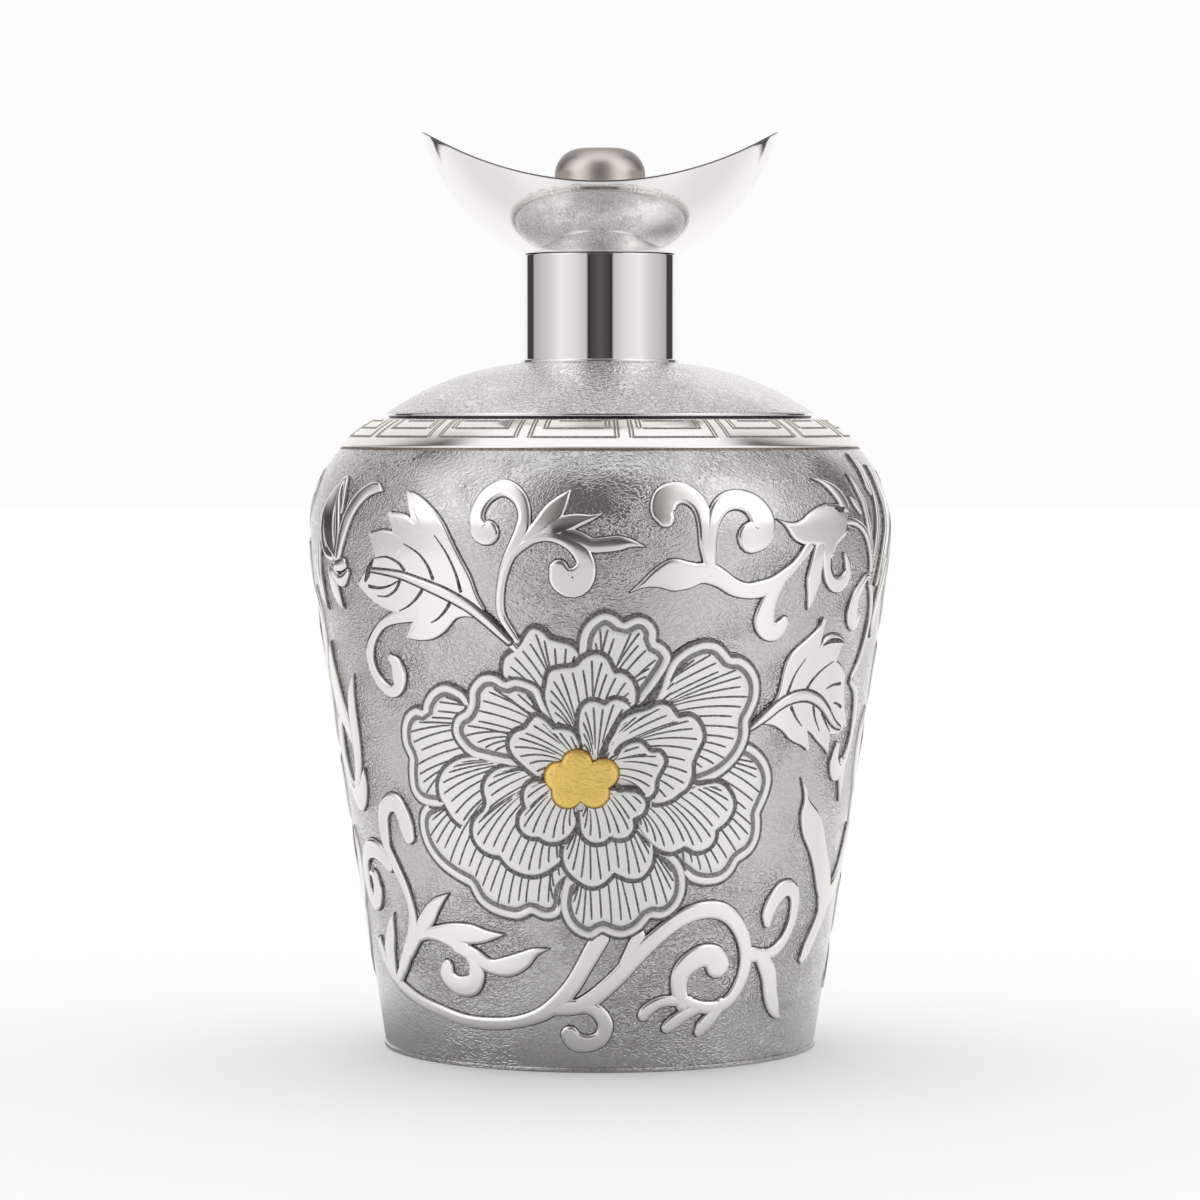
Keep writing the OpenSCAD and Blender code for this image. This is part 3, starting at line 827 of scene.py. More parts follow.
RIGHT_LEAF = (
    scroll((30.5, 51.2, .4), (32.4, 52.9, .5), (35.9, 54.6, .8), (39, 56.1, .8)),
    rib((32.4, 52.9, .25), (35.9, 54.6, .55), (38.8, 56.1, .65), (41.8, 57.1, .72), (45, 57.5, .76),
        (48, 57.3, .76), (51.4, 56.3, .72), (54.3, 54.8, .66), (56.3, 53.5, .56), (58.4, 52.5, .42),
        (60.8, 51.9, .15)),
    vein((41.1, 57.9), (41.8, 59.5), (43, 61.3), (45.2, 63.2)),
    vein((46.7, 58.6), (48, 59.8), (50.7, 61.3), (54.4, 62.5)),
    vein((58.3, 58.9), (55.4, 58.8), (53.2, 58.3)),
    vein((60, 55.2), (58.4, 55.7), (56.7, 56)),
    vein((42.6, 55.8), (44.2, 54.2), (46.3, 52.8)),
    vein((49.4, 55.6), (50.5, 53.7), (52.5, 51.8)),
    vein((52.8, 54.4), (54.9, 52.7), (56.6, 51.5)),
    Stroke(((50.2, 65.1, .12), (52.4, 65.7, .36), (55.3, 65.7, .34), (57.3, 65.4, .1)), Chasing.VEIN),
    scroll((48.8, 44.6, 0), (50.2, 43.2, .35), (51.3, 41.4, .5), (52.4, 39.3, 1.7), (54.5, 37.2, 2.5),
           (57.2, 35, 2.5), (59.5, 32.8, 2.3), (61.5, 30.8, 2.3), (64.3, 28, 2.5), (66.4, 25.6, 2.3),
           (66.4, 23, 1.9), (64.5, 20.8, 1.5), (62, 18.6, 1.35), (59.9, 16.8, 1.3), (58.7, 15.8, .9)),
    scroll((66, 25, 2), (71, 25.5, 1.9), (75.5, 28, 1.6), (78, 31.5, 1.2), (79, 36, 0)),
    scroll((65.5, 46, 1.2), (66.4, 43.2, .9), (67.1, 40, 0)),
    scroll((64, 59, .6), (67.5, 57, .7), (69, 53, .8), (68, 48.5, .8), (65.5, 45.5, 1.1), (62.6, 45, 1.6),
           (60.9, 46.8, 1.3), (61.5, 49, .7)),
)

SIDE_VINE = (
    tendril((84, 10, .8), (90, 13, 1.3), (96.5, 17.5, 1.4), (99, 23, 1.4), (96, 28.5, 1.3), (89, 32.5, 1.3),
            (83.5, 37, 1.3), (82, 42.5, 1.3), (85.5, 47.5, 1.3), (93, 51, 1.4), (98, 55.5, 1.4),
            (98.5, 61, 1.3), (94.5, 65.5, 1.3), (87, 69, 1.3), (82.8, 73.5, 1.3), (83.5, 79, 1.2),
            (88, 83, 1.1), (92.5, 85.5, 1.1), (95.5, 88.5, 1.3), (93, 90.5, 1.5)),
    tendril((96, 17, .8), (91, 19, 1.3), (88, 22, 1.5), (88.5, 25.5, 1.8), (91.5, 26, 1.6), (92.5, 24, 1)),
    tendril((84.5, 35.5, .8), (90, 37.5, 1.3), (93, 41, 1.5), (92, 44.5, 1.8), (89, 44.5, 1.6),
            (88.3, 42.5, 1)),
    tendril((97, 53.5, .8), (91, 55.5, 1.3), (88, 59, 1.5), (89, 62.5, 1.8), (92, 62.5, 1.6),
            (92.7, 60.5, 1)),
    tendril((83.8, 71.5, .8), (89, 73, 1.3), (92, 76, 1.5), (91, 79, 1.7), (88.5, 79, 1.4), (88, 77.2, .9)),
    tendril((99, 22, .6), (102, 26, 1.5), (102.5, 31, 1.3), (100.5, 35.5, 0)),
    tendril((82, 41, .6), (79, 45, 1.5), (78.5, 50, 1.3), (80.5, 54.5, 0)),
    tendril((98.6, 60, .6), (101.5, 64, 1.5), (102, 69, 1.3), (100, 73.5, 0)),
)

PETALS = (
    Petal((-20, 49), 0, ((-27, 55.5), (-28.2, 57.3), (-29.8, 58.6), (-33.5, 59.5), (-36.8, 58.6),
          (-39, 56.8), (-39.6, 55.4, 1), (-42, 55.7), (-44.7, 54.5), (-46.2, 52.4), (-46.3, 50),
          (-44.9, 47.9, 1), (-45.5, 46), (-45.6, 43.5), (-44.5, 41.9), (-42.3, 40.9), (-38.5, 40.6),
          (-34.5, 41)), True),
    Petal((-12, 50), 1, ((-17.2, 47.3), (-21.2, 47.6), (-24.2, 48), (-28.2, 48.7), (-31, 50.4),
          (-32.3, 52.4), (-31.4, 54.5), (-29, 55.6, 1), (-28, 57), (-27.6, 59), (-25.5, 60.8),
          (-23.2, 61.3), (-21.3, 61), (-19.9, 60.2, 1), (-17.8, 60.7), (-15.2, 60.3), (-13, 59.3),
          (-11.7, 57), (-10, 54.4), (-8.5, 52)), True),
    Petal((-12, 57), 0, ((-20.2, 60.5), (-20.2, 62.5), (-19.5, 64), (-17.6, 65), (-16.3, 66), (-15.2, 67.4),
          (-13.8, 68.4), (-12, 68), (-10.6, 66.9), (-9, 66.5), (-6.6, 66), (-5.1, 64.8), (-4.6, 63.8))),
    Petal((1, 55), 1, ((-5, 64.5), (-4.5, 67.5), (-2.9, 69.6), (-.3, 70.8), (1.9, 70.4), (3.5, 69.3, 1),
          (6.1, 70.2), (8.4, 69.7), (9.9, 68.2), (9.9, 66.5, 1), (11.7, 65.7), (13, 64.2), (12.5, 62.7),
          (10.9, 60.7), (8.6, 58.2), (6.6, 56.4)), True),
    Petal((4, 48), 1.5, ((7.2, 54.8), (8.7, 56.5), (10.7, 58.5), (12.8, 63), (15, 64.8), (17.3, 65.8),
          (20, 66.3), (22.7, 65.9), (24.7, 64.6), (25.6, 63.8, 1), (27.9, 63.7), (30.5, 62.4), (32.3, 60.3),
          (32.7, 57.8), (31.8, 55.6), (30.7, 54.1, 1), (31, 52), (30.3, 50), (28.7, 48.1), (26, 46.3),
          (22.6, 45), (18.6, 44.2)), True),
    Petal((8, 41), 0, ((27, 50.5), (30.9, 50.5), (34.2, 49.3), (36.8, 47.4), (38.2, 45), (37.8, 42.5),
          (36, 39.6, 1), (36.5, 37.9), (36.3, 35.6), (34.6, 33.6), (31.4, 32.3, 1), (29.8, 30.5),
          (27.2, 29.3), (23.8, 29), (20.3, 29.5), (17.9, 30.6), (15.3, 31.9)), True),
    Petal((0, 36), 1, ((11, 35.2), (14.5, 34.3), (17.2, 32.4), (18.4, 30), (18.2, 27.4), (16.3, 25.2),
          (13.5, 24.1), (10.6, 24.2, 1), (8.3, 22.4), (5, 21.3), (2.2, 21.4), (-.3, 22.1, 1), (-3, 21.1),
          (-6.2, 21.8), (-8.6, 23.5), (-9.7, 26), (-9.3, 28.5), (-8.2, 31)), True),
    Petal((-12, 40), 0, ((-40.5, 41.3), (-42.6, 40.2), (-43.9, 38.5), (-43.8, 36), (-42.3, 33.6),
          (-39.3, 31.4), (-35.5, 29.8), (-31.4, 28.6, 1), (-29.6, 26.3), (-26.5, 24.8), (-22.5, 24),
          (-19.5, 23.9), (-16.5, 24.8, 1), (-13.5, 24), (-10.5, 24.4), (-9, 26), (-8.4, 28.5), (-5, 30)),
          True),
    Petal((-14, 44), 1, ((-25, 48.7), (-29.3, 48.6), (-32.8, 47.8), (-35.8, 46.2), (-37.3, 44.2),
          (-37.2, 42.2), (-36, 40.8), (-34, 38.8), (-31, 37.5))),
    Petal((-9, 43), 2, ((-18.4, 47.5), (-21.9, 47.1), (-24.7, 45.8), (-26, 43.9), (-25.6, 41.8),
          (-26.3, 40.5, 1), (-28.9, 38.7), (-29.4, 36.4), (-27.8, 34.6), (-25.2, 33.7), (-23.3, 33.6, 1),
          (-21, 31.8), (-17.4, 30.8), (-13.9, 31), (-10.3, 32.5), (-8.7, 33.8))),
    Petal((-3, 50), 2, ((-9.9, 53.5), (-11.7, 57.6), (-11.4, 60), (-10.6, 61.9), (-8.2, 62.5), (-5.5, 62.8),
          (-3.9, 64), (-1.6, 64.7), (.3, 64), (1.4, 62.5), (1.9, 61.7, 1), (3.5, 61.8), (5.4, 60.5),
          (6.2, 58.8), (6.1, 56.5))),
    Petal((-1, 48), 3, ((-4.7, 50.3), (-5.1, 53.6), (-4.6, 56.2), (-3.2, 57.4), (-1.6, 57.5), (0, 56.9, 1),
          (1.9, 57.8), (3.8, 57.5), (5.4, 56.5))),
    Petal((2, 47), 4, ((.2, 49.2), (.9, 51.1), (2, 52.7), (3.6, 54.7), (5.8, 55.7), (8.5, 56.2), (10.8, 57),
          (12.9, 56.7), (14.3, 55.4), (15, 54.9, 1), (17.4, 55.1), (19.4, 53.9), (20.4, 51.9), (19.5, 50.1),
          (18.3, 48, 1), (18.4, 46), (17.5, 44.2), (16.2, 43.5), (14.1, 42.4), (11.3, 41.9), (9.2, 42.2))),
    Petal((2, 46.5), 5, ((2.2, 48.7), (3.6, 50.4), (5.9, 51.3), (7.6, 51.1), (8.9, 50.1), (9.6, 49.7, 1),
          (11.3, 49.7), (12.4, 48.3), (11.6, 47), (10.8, 45.8, 1), (10.6, 45.2), (10.4, 43.7), (8.7, 42.7),
          (6.9, 43.7))),
    Petal((-1, 43), 6, ((.8, 43.9), (3.1, 43.8), (5.5, 43.8), (7.6, 43.2), (8.7, 41.9), (8, 40.4),
          (6, 39.7, 1), (6.2, 38.2), (5, 36.9), (2.9, 36.6), (1.4, 37, 1), (-.3, 36.1), (-2.8, 36.1),
          (-4.6, 37.4), (-5, 39.2), (-5.2, 40.7))),
    Petal((-7, 44), 4, ((-12.2, 45.3), (-14.5, 45.2), (-16.4, 44.3), (-17, 42.6), (-16.5, 41.1, 1),
          (-18, 39.8), (-18.1, 38), (-16.3, 36.8), (-14, 36.7, 1), (-12.2, 36), (-9.6, 36.1), (-7.3, 37.2),
          (-5.8, 39), (-5.1, 40.6))),
    Petal((-6, 47), 4, ((-13.8, 45.8), (-16.6, 47.6), (-18.9, 49.3), (-19.5, 51.1), (-18.2, 52.6),
          (-16, 53.3), (-14.9, 54.3), (-13.5, 55.2), (-11.7, 54.5), (-10.3, 53.3, 1), (-7.9, 53.3),
          (-6.2, 52.8), (-5.2, 51.3), (-4.9, 50.2))),
    Petal((0, 41), 2, ((6.3, 39), (10.4, 36.2), (10.8, 34.6), (10.3, 32.3), (8.3, 30.5), (5.6, 30.3),
          (3.6, 30.8), (2.2, 31.3, 1), (0, 29.7), (-2.5, 29.1), (-5, 29.7), (-7.9, 31.5), (-8.9, 33.6),
          (-8.5, 35.7))),
    Petal((7, 41), 3, ((6.8, 38.9), (8.8, 36.8), (11.6, 35), (14.5, 34.3), (16.7, 34.8), (17.8, 35.2, 1),
          (20.4, 34.3), (23, 34.7), (24.6, 35.9), (24.8, 37.5, 1), (27.2, 38.7), (28.7, 40.7), (28.1, 42.5),
          (25.9, 44.3), (23.3, 44.8), (19.6, 44.4), (16, 43.3))),
)

KEY_LINES = (
    ((-9.3, 96.72), (9.3, 96.72), 0.23),
    ((-6.9, 98.0), (6.6, 98.0), 0.23),
    ((-3.5, 99.08), (6.2, 99.08), 0.23),
    ((-9.25, 96.85), (-9.25, 99.2), 0.14),
    ((9.25, 96.85), (9.25, 99.2), 0.14),
    ((-10.0, 96.7), (-10.0, 99.2), 0.14),
    ((10.0, 96.7), (10.0, 99.2), 0.14),
    ((-6.95, 98.1), (-6.95, 99.2), 0.14),
    ((-6.1, 98.15), (-6.1, 99.2), 0.14),
    ((7.2, 98.2), (7.2, 99.2), 0.14),
    ((8.1, 98.2), (8.1, 99.2), 0.14),
    ((7.35, 98.05), (7.9, 98.05), 0.14),
)


class Bench:
    """Adds nodes to one tree and joins them."""

    def __init__(self, tree: NodeTree) -> None:
        """Keeps the tree.

        Args:
            tree: Node tree to work in.
        """
        self.tree = tree

    def put(self, node: Node, values: dict) -> None:
        """Sets or links inputs of a node.

        Args:
            node: The node.
            values: Input names or numbers, each with a value or an output socket.
        """
        for key, value in values.items():
            if isinstance(value, NodeSocket):
                self.tree.links.new(value, node.inputs[key])
            else:
                node.inputs[key].default_value = value

    def add(self, kind: str, inputs: dict | None = None, **settings: object) -> Node:
        """Adds a node with its inputs set or linked.

        Args:
            kind: Node type.
            inputs: Input names or numbers, each with a value or an output socket.
            **settings: Node properties.

        Returns:
            The new node.
        """
        node = self.tree.nodes.new(kind)
        for key, value in settings.items():
            setattr(node, key, value)
        self.put(node, inputs or {})
        return node

    def group(self, tree: NodeTree, inputs: dict) -> Sequence[NodeSocket]:
        """Outputs of a shared group."""
        return self.add("ShaderNodeGroup", inputs, node_tree=tree).outputs

    def place(self) -> NodeSocket:
        """Object coordinates."""
        return self.add("ShaderNodeTexCoord").outputs["Object"]

    def facing(self) -> NodeSocket:
        """How far the surface turns away from the eye."""
        return self.add("ShaderNodeLayerWeight", {"Blend": 0.5}).outputs["Facing"]

    def math(self, operation: str, *values: object) -> NodeSocket:
        """Output of a math node."""
        return self.add("ShaderNodeMath", dict(enumerate(values)), operation=operation).outputs[0]

    def vector(self, operation: str, inputs: dict) -> NodeSocket:
        """Output of a vector math node."""
        return self.add("ShaderNodeVectorMath", inputs, operation=operation).outputs[0]

    def fit(self, value: object, low: float, high: float, to_low: float, to_high: float) -> NodeSocket:
        """Value carried smoothly and clamped from one range to another."""
        inputs = {"Value": value, "From Min": low, "From Max": high, "To Min": to_low, "To Max": to_high}
        return self.add("ShaderNodeMapRange", inputs, interpolation_type="SMOOTHSTEP").outputs[0]

    def blend(self, share: object, first: object, second: object) -> NodeSocket:
        """Mix of two colours."""
        return self.add("ShaderNodeMix", {0: share, 6: first, 7: second}, data_type="RGBA").outputs[2]

    def stretched(self, place: object, scale: Triple) -> NodeSocket:
        """Place scaled along each axis."""
        return self.add("ShaderNodeMapping", {"Vector": place, "Scale": scale}).outputs[0]

    def noise(self, place: object, scale: float, detail: float) -> Sequence[NodeSocket]:
        """Outputs of a noise texture at a place, the value first."""
        return self.add("ShaderNodeTexNoise", {"Vector": place, "Scale": scale, "Detail": detail}).outputs


def shared_group(name: str, inputs: dict[str, Socket], outputs: dict[str, Socket]) -> tuple:
    """Starts a shader node group with named sockets.

    Args:
        name: Name of the group.
        inputs: Sockets that come in.
        outputs: Sockets that go out.

    Returns:
        The group's bench, its incoming sockets and its output node.
    """
    tree = bpy.data.node_groups.new(name, "ShaderNodeTree")
    for way, sockets in (("INPUT", inputs), ("OUTPUT", outputs)):
        for socket, kind in sockets.items():
            tree.interface.new_socket(socket, in_out=way, socket_type=kind.value)
    bench = Bench(tree)
    return bench, bench.add("NodeGroupInput").outputs, bench.add("NodeGroupOutput")


class Effects:
    """Node groups that several finishes share, each made once."""

    def __init__(self) -> None:
        """Builds the groups."""
        self.grain = self._grain()
        self.recess = self._recess()
        self.polish = self._polish()

    def _grain(self) -> NodeTree:
        """Leathery hammered grain: wrinkled cells with a height, a pit mask and a slow cloud.

        Returns:
            The group.
        """
        bench, given, result = shared_group(
            "leathery_grain", {"Scale": Socket.VALUE},
            {"Height": Socket.VALUE, "Pit": Socket.VALUE, "Cloud": Socket.VALUE})
        place = bench.place()
        scaled = bench.vector("SCALE", {0: bench.stretched(place, (1.0, 1.0, 1.6)), "Scale": given["Scale"]})
        drift = bench.noise(scaled, scale=0.07, detail=1.0)["Color"]
        warped = bench.vector("ADD", {0: scaled, 1: bench.vector("SCALE", {0: drift, "Scale": 9.0})})
        folds = bench.noise(warped, scale=0.5, detail=2.0)[0]
        crease = bench.math("ABSOLUTE", bench.math("SUBTRACT", folds, 0.5))
        plump = bench.fit(crease, 0.0, 0.12, 0.0, 1.0)
        wrinkle = bench.math("MULTIPLY", bench.noise(warped, scale=1.1, detail=2.0)[0], 0.7)
        bench.put(result, {
            "Height": bench.math("MULTIPLY_ADD", plump, 0.6, wrinkle),
            "Pit": bench.fit(crease, 0.0, 0.07, 1.0, 0.0),
            "Cloud": bench.noise(place, scale=42.0, detail=3.0)[0],
        })
        return bench.tree

    def _recess(self) -> NodeTree:
        """Dark oxide left in the recesses round raised work, and the painted shade at the foot of the key
        band, read from the mesh's own attribute.

        Returns:
            The group.
        """
        bench, given, result = shared_group(
            "oxide_in_recesses", {"Bright": Socket.COLOUR, "Dark": Socket.COLOUR},
            {"Color": Socket.COLOUR, "Mask": Socket.VALUE})
        oxide = bench.add("ShaderNodeAttribute", attribute_name="oxide").outputs["Fac"]
        speck = bench.noise(bench.place(), scale=2600.0, detail=2.0)[0]
        worn_oxide_and_shade = bench.math("MULTIPLY", oxide, bench.fit(speck, 0.3, 0.7, 0.8, 1.0))
        bench.put(result, {"Color": bench.blend(worn_oxide_and_shade, given["Bright"], given["Dark"]), "Mask": worn_oxide_and_shade})
        return bench.tree

    def _polish(self) -> NodeTree:
        """Faint cloth marks left by polishing, as a roughness.

        Returns:
            The group.
        """
        bench, given, result = shared_group(
            "polish_marks", {"Low": Socket.VALUE, "High": Socket.VALUE}, {"Roughness": Socket.VALUE})
        place = bench.place()
        marks = bench.noise(bench.stretched(place, (260.0, 260.0, 4200.0)), scale=1.0, detail=3.0)[0]
        cloud = bench.noise(place, scale=70.0, detail=2.0)[0]
        share = bench.math("MULTIPLY", bench.fit(marks, 0.35, 0.75, 0.0, 1.0), cloud)
        span = bench.math("SUBTRACT", given["High"], given["Low"])
        bench.put(result, {"Roughness": bench.math("MULTIPLY_ADD", share, span, given["Low"])})
        return bench.tree


EFFECTS = Effects()


def new_material(name: str) -> tuple[Material, Bench, Node]:
    """Starts a material.

    Args:
        name: Name of the material.

    Returns:
        The material, its bench and its Principled shader.
    """
    material = bpy.data.materials.new(name)
    material.use_nodes = True
    return material, Bench(material.node_tree), material.node_tree.nodes["Principled BSDF"]


def rgba(colour: Colour) -> Quad:
    """Colour with full opacity."""
    return (*colour, 1.0)


def grey(level: float) -> Quad:
    """Grey with full opacity."""
    return (level, level, level, 1.0)


@dataclass(frozen=True)
class GrainedSilver:
    """Matt silver with a leathery hammered grain, darker in its pits. It has a painted sheen: the base colour
    turns towards its edge colour at grazing angles.
    """

    name: str
    light: Colour
    pit: Colour
    # Colour that the base turns to at grazing angles: a painted sheen.
    edge: Colour
    rough: Pair
    cells: float = 1900.0
    depth: float = 0.2
    metal: float = 1.0
    pit_share: float = 0.6
    clouds: Quad = (0.35, 0.7, 0.0, 0.6)
    patches: Quad = (0.38, 0.56, 0.2, 0.85)
    painted_grazing_sheen_and_shade: Quad = (0.35, 0.95, 0.0, 0.85)

    def material(self) -> Material:
        """Builds the finish.

        Returns:
            The material.
        """
        material, bench, shader = new_material(self.name)
        grain = bench.group(EFFECTS.grain, {"Scale": self.cells})
        clouds = bench.fit(grain["Cloud"], *self.clouds)
        shadow = bench.math("MULTIPLY_ADD", grain["Pit"], self.pit_share, clouds)
        face = bench.blend(shadow, rgba(self.light), rgba(self.pit))
        bump = bench.add("ShaderNodeBump", {
            "Height": grain["Height"],
            "Strength": bench.fit(grain["Cloud"], *self.patches),
            "Distance": self.depth * MM,
        })
        # Painted sheen: the base colour is blended towards the edge colour where the surface turns away from
        # the eye.
        bench.put(shader, {
            "Base Color": bench.blend(bench.fit(bench.facing(), *self.painted_grazing_sheen_and_shade), face, rgba(self.edge)),
            "Metallic": self.metal,
            "Roughness": bench.fit(grain["Pit"], 0.0, 1.0, *self.rough),
            "Normal": bump.outputs[0],
        })
        return material


@dataclass(frozen=True)
class ChasedSilver:
    """Bright polished silver with dark oxide in its recesses. On the key fret the same dark also paints the
    shade under the band.
    """

    name: str
    bright: Colour
    dark: Colour
    rough: Pair
    metal: float = 1.0
    rough_marks: float = 0.08

    def material(self) -> Material:
        """Builds the finish.

        Returns:
            The material.
        """
        material, bench, shader = new_material(self.name)
        recess = bench.group(EFFECTS.recess, {"Bright": rgba(self.bright), "Dark": rgba(self.dark)})
        polish = bench.group(EFFECTS.polish, {"Low": self.rough[0], "High": self.rough[0] + self.rough_marks})
        rough = bench.add("ShaderNodeMix", {0: recess["Mask"], 2: polish["Roughness"], 3: self.rough[1]})
        bench.put(shader, {
            "Base Color": recess["Color"],
            "Metallic": self.metal,
            "Roughness": rough.outputs[0],
        })
        return material


@dataclass(frozen=True)
class PolishedSilver:
    """Mirror or satin silver with faint polishing marks. An edge colour, where given, is painted in at
    grazing angles; on the satin button it is a painted shade.
    """

    name: str
    colour: Colour
    rough: Pair
    # Colour painted in at grazing angles; on the satin button it is a painted shade.
    edge: Colour | None = None
    painted_grazing_sheen_and_shade: Quad = (0.15, 0.75, 0.0, 1.0)

    def material(self) -> Material:
        """Builds the finish.

        Returns:
            The material.
        """
        material, bench, shader = new_material(self.name)
        polish = bench.group(EFFECTS.polish, {"Low": self.rough[0], "High": self.rough[1]})
        colour = rgba(self.colour)
        # Painted grazing tone: the base colour turns to the edge colour where the surface turns away from the
        # eye.
        if self.edge:
            colour = bench.blend(bench.fit(bench.facing(), *self.painted_grazing_sheen_and_shade), colour, rgba(self.edge))
        bench.put(shader, {"Base Color": colour, "Metallic": 1.0, "Roughness": polish["Roughness"]})
        return material


@dataclass(frozen=True)
class Gilding:
    """Gilt silver, lightly hammered, with a dark outline."""

    name: str
    bright: Colour
    dark: Colour
    rough: Pair
    cells: float = 1900.0
    depth: float = 0.1
    strength: float = 0.6
    metal: float = 0.75

    def material(self) -> Material:
        """Builds the finish.

        Returns:
            The material.
        """
        material, bench, shader = new_material(self.name)
        recess = bench.group(EFFECTS.recess, {"Bright": rgba(self.bright), "Dark": rgba(self.dark)})
        grain = bench.group(EFFECTS.grain, {"Scale": self.cells})
        bump = bench.add("ShaderNodeBump", {
            "Height": grain["Height"],
            "Strength": self.strength,
            "Distance": self.depth * MM,
        })
        bench.put(shader, {
            "Base Color": recess["Color"],
            "Metallic": self.metal,
            "Roughness": bench.fit(grain["Pit"], 0.0, 1.0, *self.rough),
            "Normal": bump.outputs[0],
        })
        return material


@dataclass(frozen=True)
class SealRubber:
    """Soft pale sealing rubber."""

    name: str
    light: Colour
    pit: Colour
    cells: float = 900.0
    rough: Quad = (0.3, 0.7, 0.5, 0.62)

    def material(self) -> Material:
        """Builds the finish.

        Returns:
            The material.
        """
        material, bench, shader = new_material(self.name)
        grain = bench.group(EFFECTS.grain, {"Scale": self.cells})
        bench.put(shader, {
            "Base Color": bench.blend(grain["Pit"], rgba(self.light), rgba(self.pit)),
            "Roughness": bench.fit(grain["Cloud"], *self.rough),
        })
        return material


class Finishes:
    """Every finish of the vessel, built once."""

    def __init__(self) -> None:
        """Builds the materials."""
        polished = (0.96, 0.955, 0.945)
        # The third colour of the wall and of the dome is a painted sheen at grazing angles.
        self.wall = GrainedSilver("wall_grain", (0.66, 0.656, 0.65), (0.51, 0.505, 0.5),
                                  (0.94, 0.94, 0.945), (0.16, 0.24)).material()
        self.dome = GrainedSilver("dome_grain", (0.85, 0.846, 0.84), (0.58, 0.575, 0.57),
                                  (0.86, 0.86, 0.86), (0.2, 0.3), 1350.0, 0.3, 0.75).material()
        self.relief = ChasedSilver("chased_scrolls", (0.95, 0.943, 0.93), (0.06, 0.057, 0.054),
                                   (0.1, 0.55)).material()
        self.petal = ChasedSilver("chased_petals", (0.9, 0.893, 0.875), (0.09, 0.086, 0.082),
                                  (0.3, 0.55), 0.55).material()
        self.key = ChasedSilver("key_relief", (0.95, 0.94, 0.92), (0.22, 0.18, 0.145), (0.12, 0.5)).material()
        self.bright = PolishedSilver("bright_work", (0.9, 0.895, 0.88), (0.1, 0.2)).material()
        self.mirror = PolishedSilver("mirror_work", polished, (0.02, 0.05)).material()
        self.bowl = PolishedSilver("bowl_polish", polished, (0.06, 0.09)).material()
        self.bowl_rim = PolishedSilver("bowl_rim_line", (0.2, 0.18, 0.165), (0.15, 0.25)).material()
        # The satin button's last colour is a painted shade at grazing angles.
        self.satin = PolishedSilver("satin_button", (0.7, 0.655, 0.615), (0.34, 0.44),
                                    (0.3, 0.275, 0.26)).material()
        # Near-black finish of the ring that paints the shadow in the gap under the lid's edge.
        self.gap_shadow = PolishedSilver("painted_gap_shadow", (0.05, 0.048, 0.046), (0.35, 0.5)).material()
        self.gilt = Gilding("gilt_heart", (1.0, 0.71, 0.2), (0.3, 0.15, 0.03), (0.28, 0.42)).material()
        self.seal = SealRubber("seal_rubber", (0.78, 0.77, 0.74), (0.66, 0.65, 0.62)).material()


def lay_sheet(bm: BMesh, sheet: Sheet, turned: float) -> None:
    """Lays a grid over a sheet of points on the wall, facing outward.

    Args:
        bm: Mesh that takes the grid.
        sheet: Rows of turn, height, lift and darkness.
        turned: Degrees that the sheet is carried round the jar.
    """
    oxide = bm.verts.layers.float.get("oxide") or bm.verts.layers.float.new("oxide")
    wide = len(sheet[0])
    made = bmesh.ops.create_grid(bm, x_segments=wide - 1, y_segments=len(sheet) - 1, size=1.0)["verts"]
    for number, vert in enumerate(made):
        turn, z, lift, dark = sheet[number // wide][number % wide]
        vert.co = WALL.at(turn + turned, z, lift)
        vert[oxide] = dark
    faces = {face for vert in made for face in vert.link_faces}
    facing = 0.0
    for face in faces:
        face.normal_update()
        middle = face.calc_center_median()
        facing += face.normal.dot(Vector((middle.x, middle.y, 0.0))) * face.calc_area()
    if facing < 0:
        bmesh.ops.reverse_faces(bm, faces=list(faces))


def finished(name: str, bm: BMesh, material: Material, crease: Crease) -> Object:
    """Turns a bmesh into a smooth-shaded object.

    Args:
        name: Name of the object.
        bm: Mesh to keep.
        material: Its finish.
        crease: Angle past which an edge stays sharp.

    Returns:
        The object, at the origin.
    """
    mesh = bpy.data.meshes.new(name)
    bm.to_mesh(mesh)
    bm.free()
    mesh.shade_smooth()
    mesh.set_sharp_from_angle(angle=math.radians(crease.value))
    mesh.materials.append(material)
    piece = bpy.data.objects.new(name, mesh)
    bpy.context.scene.collection.objects.link(piece)
    return piece


def round_sharp(bm: BMesh, past: float, width: float) -> None:
    """Rounds the sharp edges of a mesh.

    Args:
        bm: The mesh.
        past: Angle in degrees past which an edge is rounded.
        width: Width of the rounding in millimetres.
    """
    sharp = [e for e in bm.edges if len(e.link_faces) == 2 and e.calc_face_angle() > math.radians(past)]
    bmesh.ops.bevel(bm, geom=sharp, offset=width * MM, offset_type="OFFSET", segments=3, profile=0.5,
                    affect="EDGES", material=-1, clamp_overlap=True)


def held_corners(section: Section, hold: float) -> Section:
    """Adds a point near each end of a section's long flats, so that they shade flat.

    Args:
        section: Corners of the section.
        hold: Distance of the new points from the corners.

    Returns:
        The section with the added points.
    """
    held: Section = []
    for (r0, z0), (r1, z1) in zip(section, [*section[1:], section[0]]):
        held.append((r0, z0))
        length = math.hypot(r1 - r0, z1 - z0)
        if hold and length > 3 * hold:
            for share in (hold / length, 1 - hold / length):
                held.append((r0 + (r1 - r0) * share, z0 + (z1 - z0) * share))
    return held


def ring_section(inner: float, outer: float, low: float, high: float) -> Section:
    """Half section of a plain ring."""
    return [(inner, low), (outer, low), (outer, high), (inner, high)]


def ring_of(node: str, thick: float, drop: float = 0.0) -> Section:
    """Half section of a ring that fills a CAD node's box, or starts a drop below it."""
    low, high = box_mm(node)
    return ring_section(high.x - thick, high.x, low.z - drop, high.z)


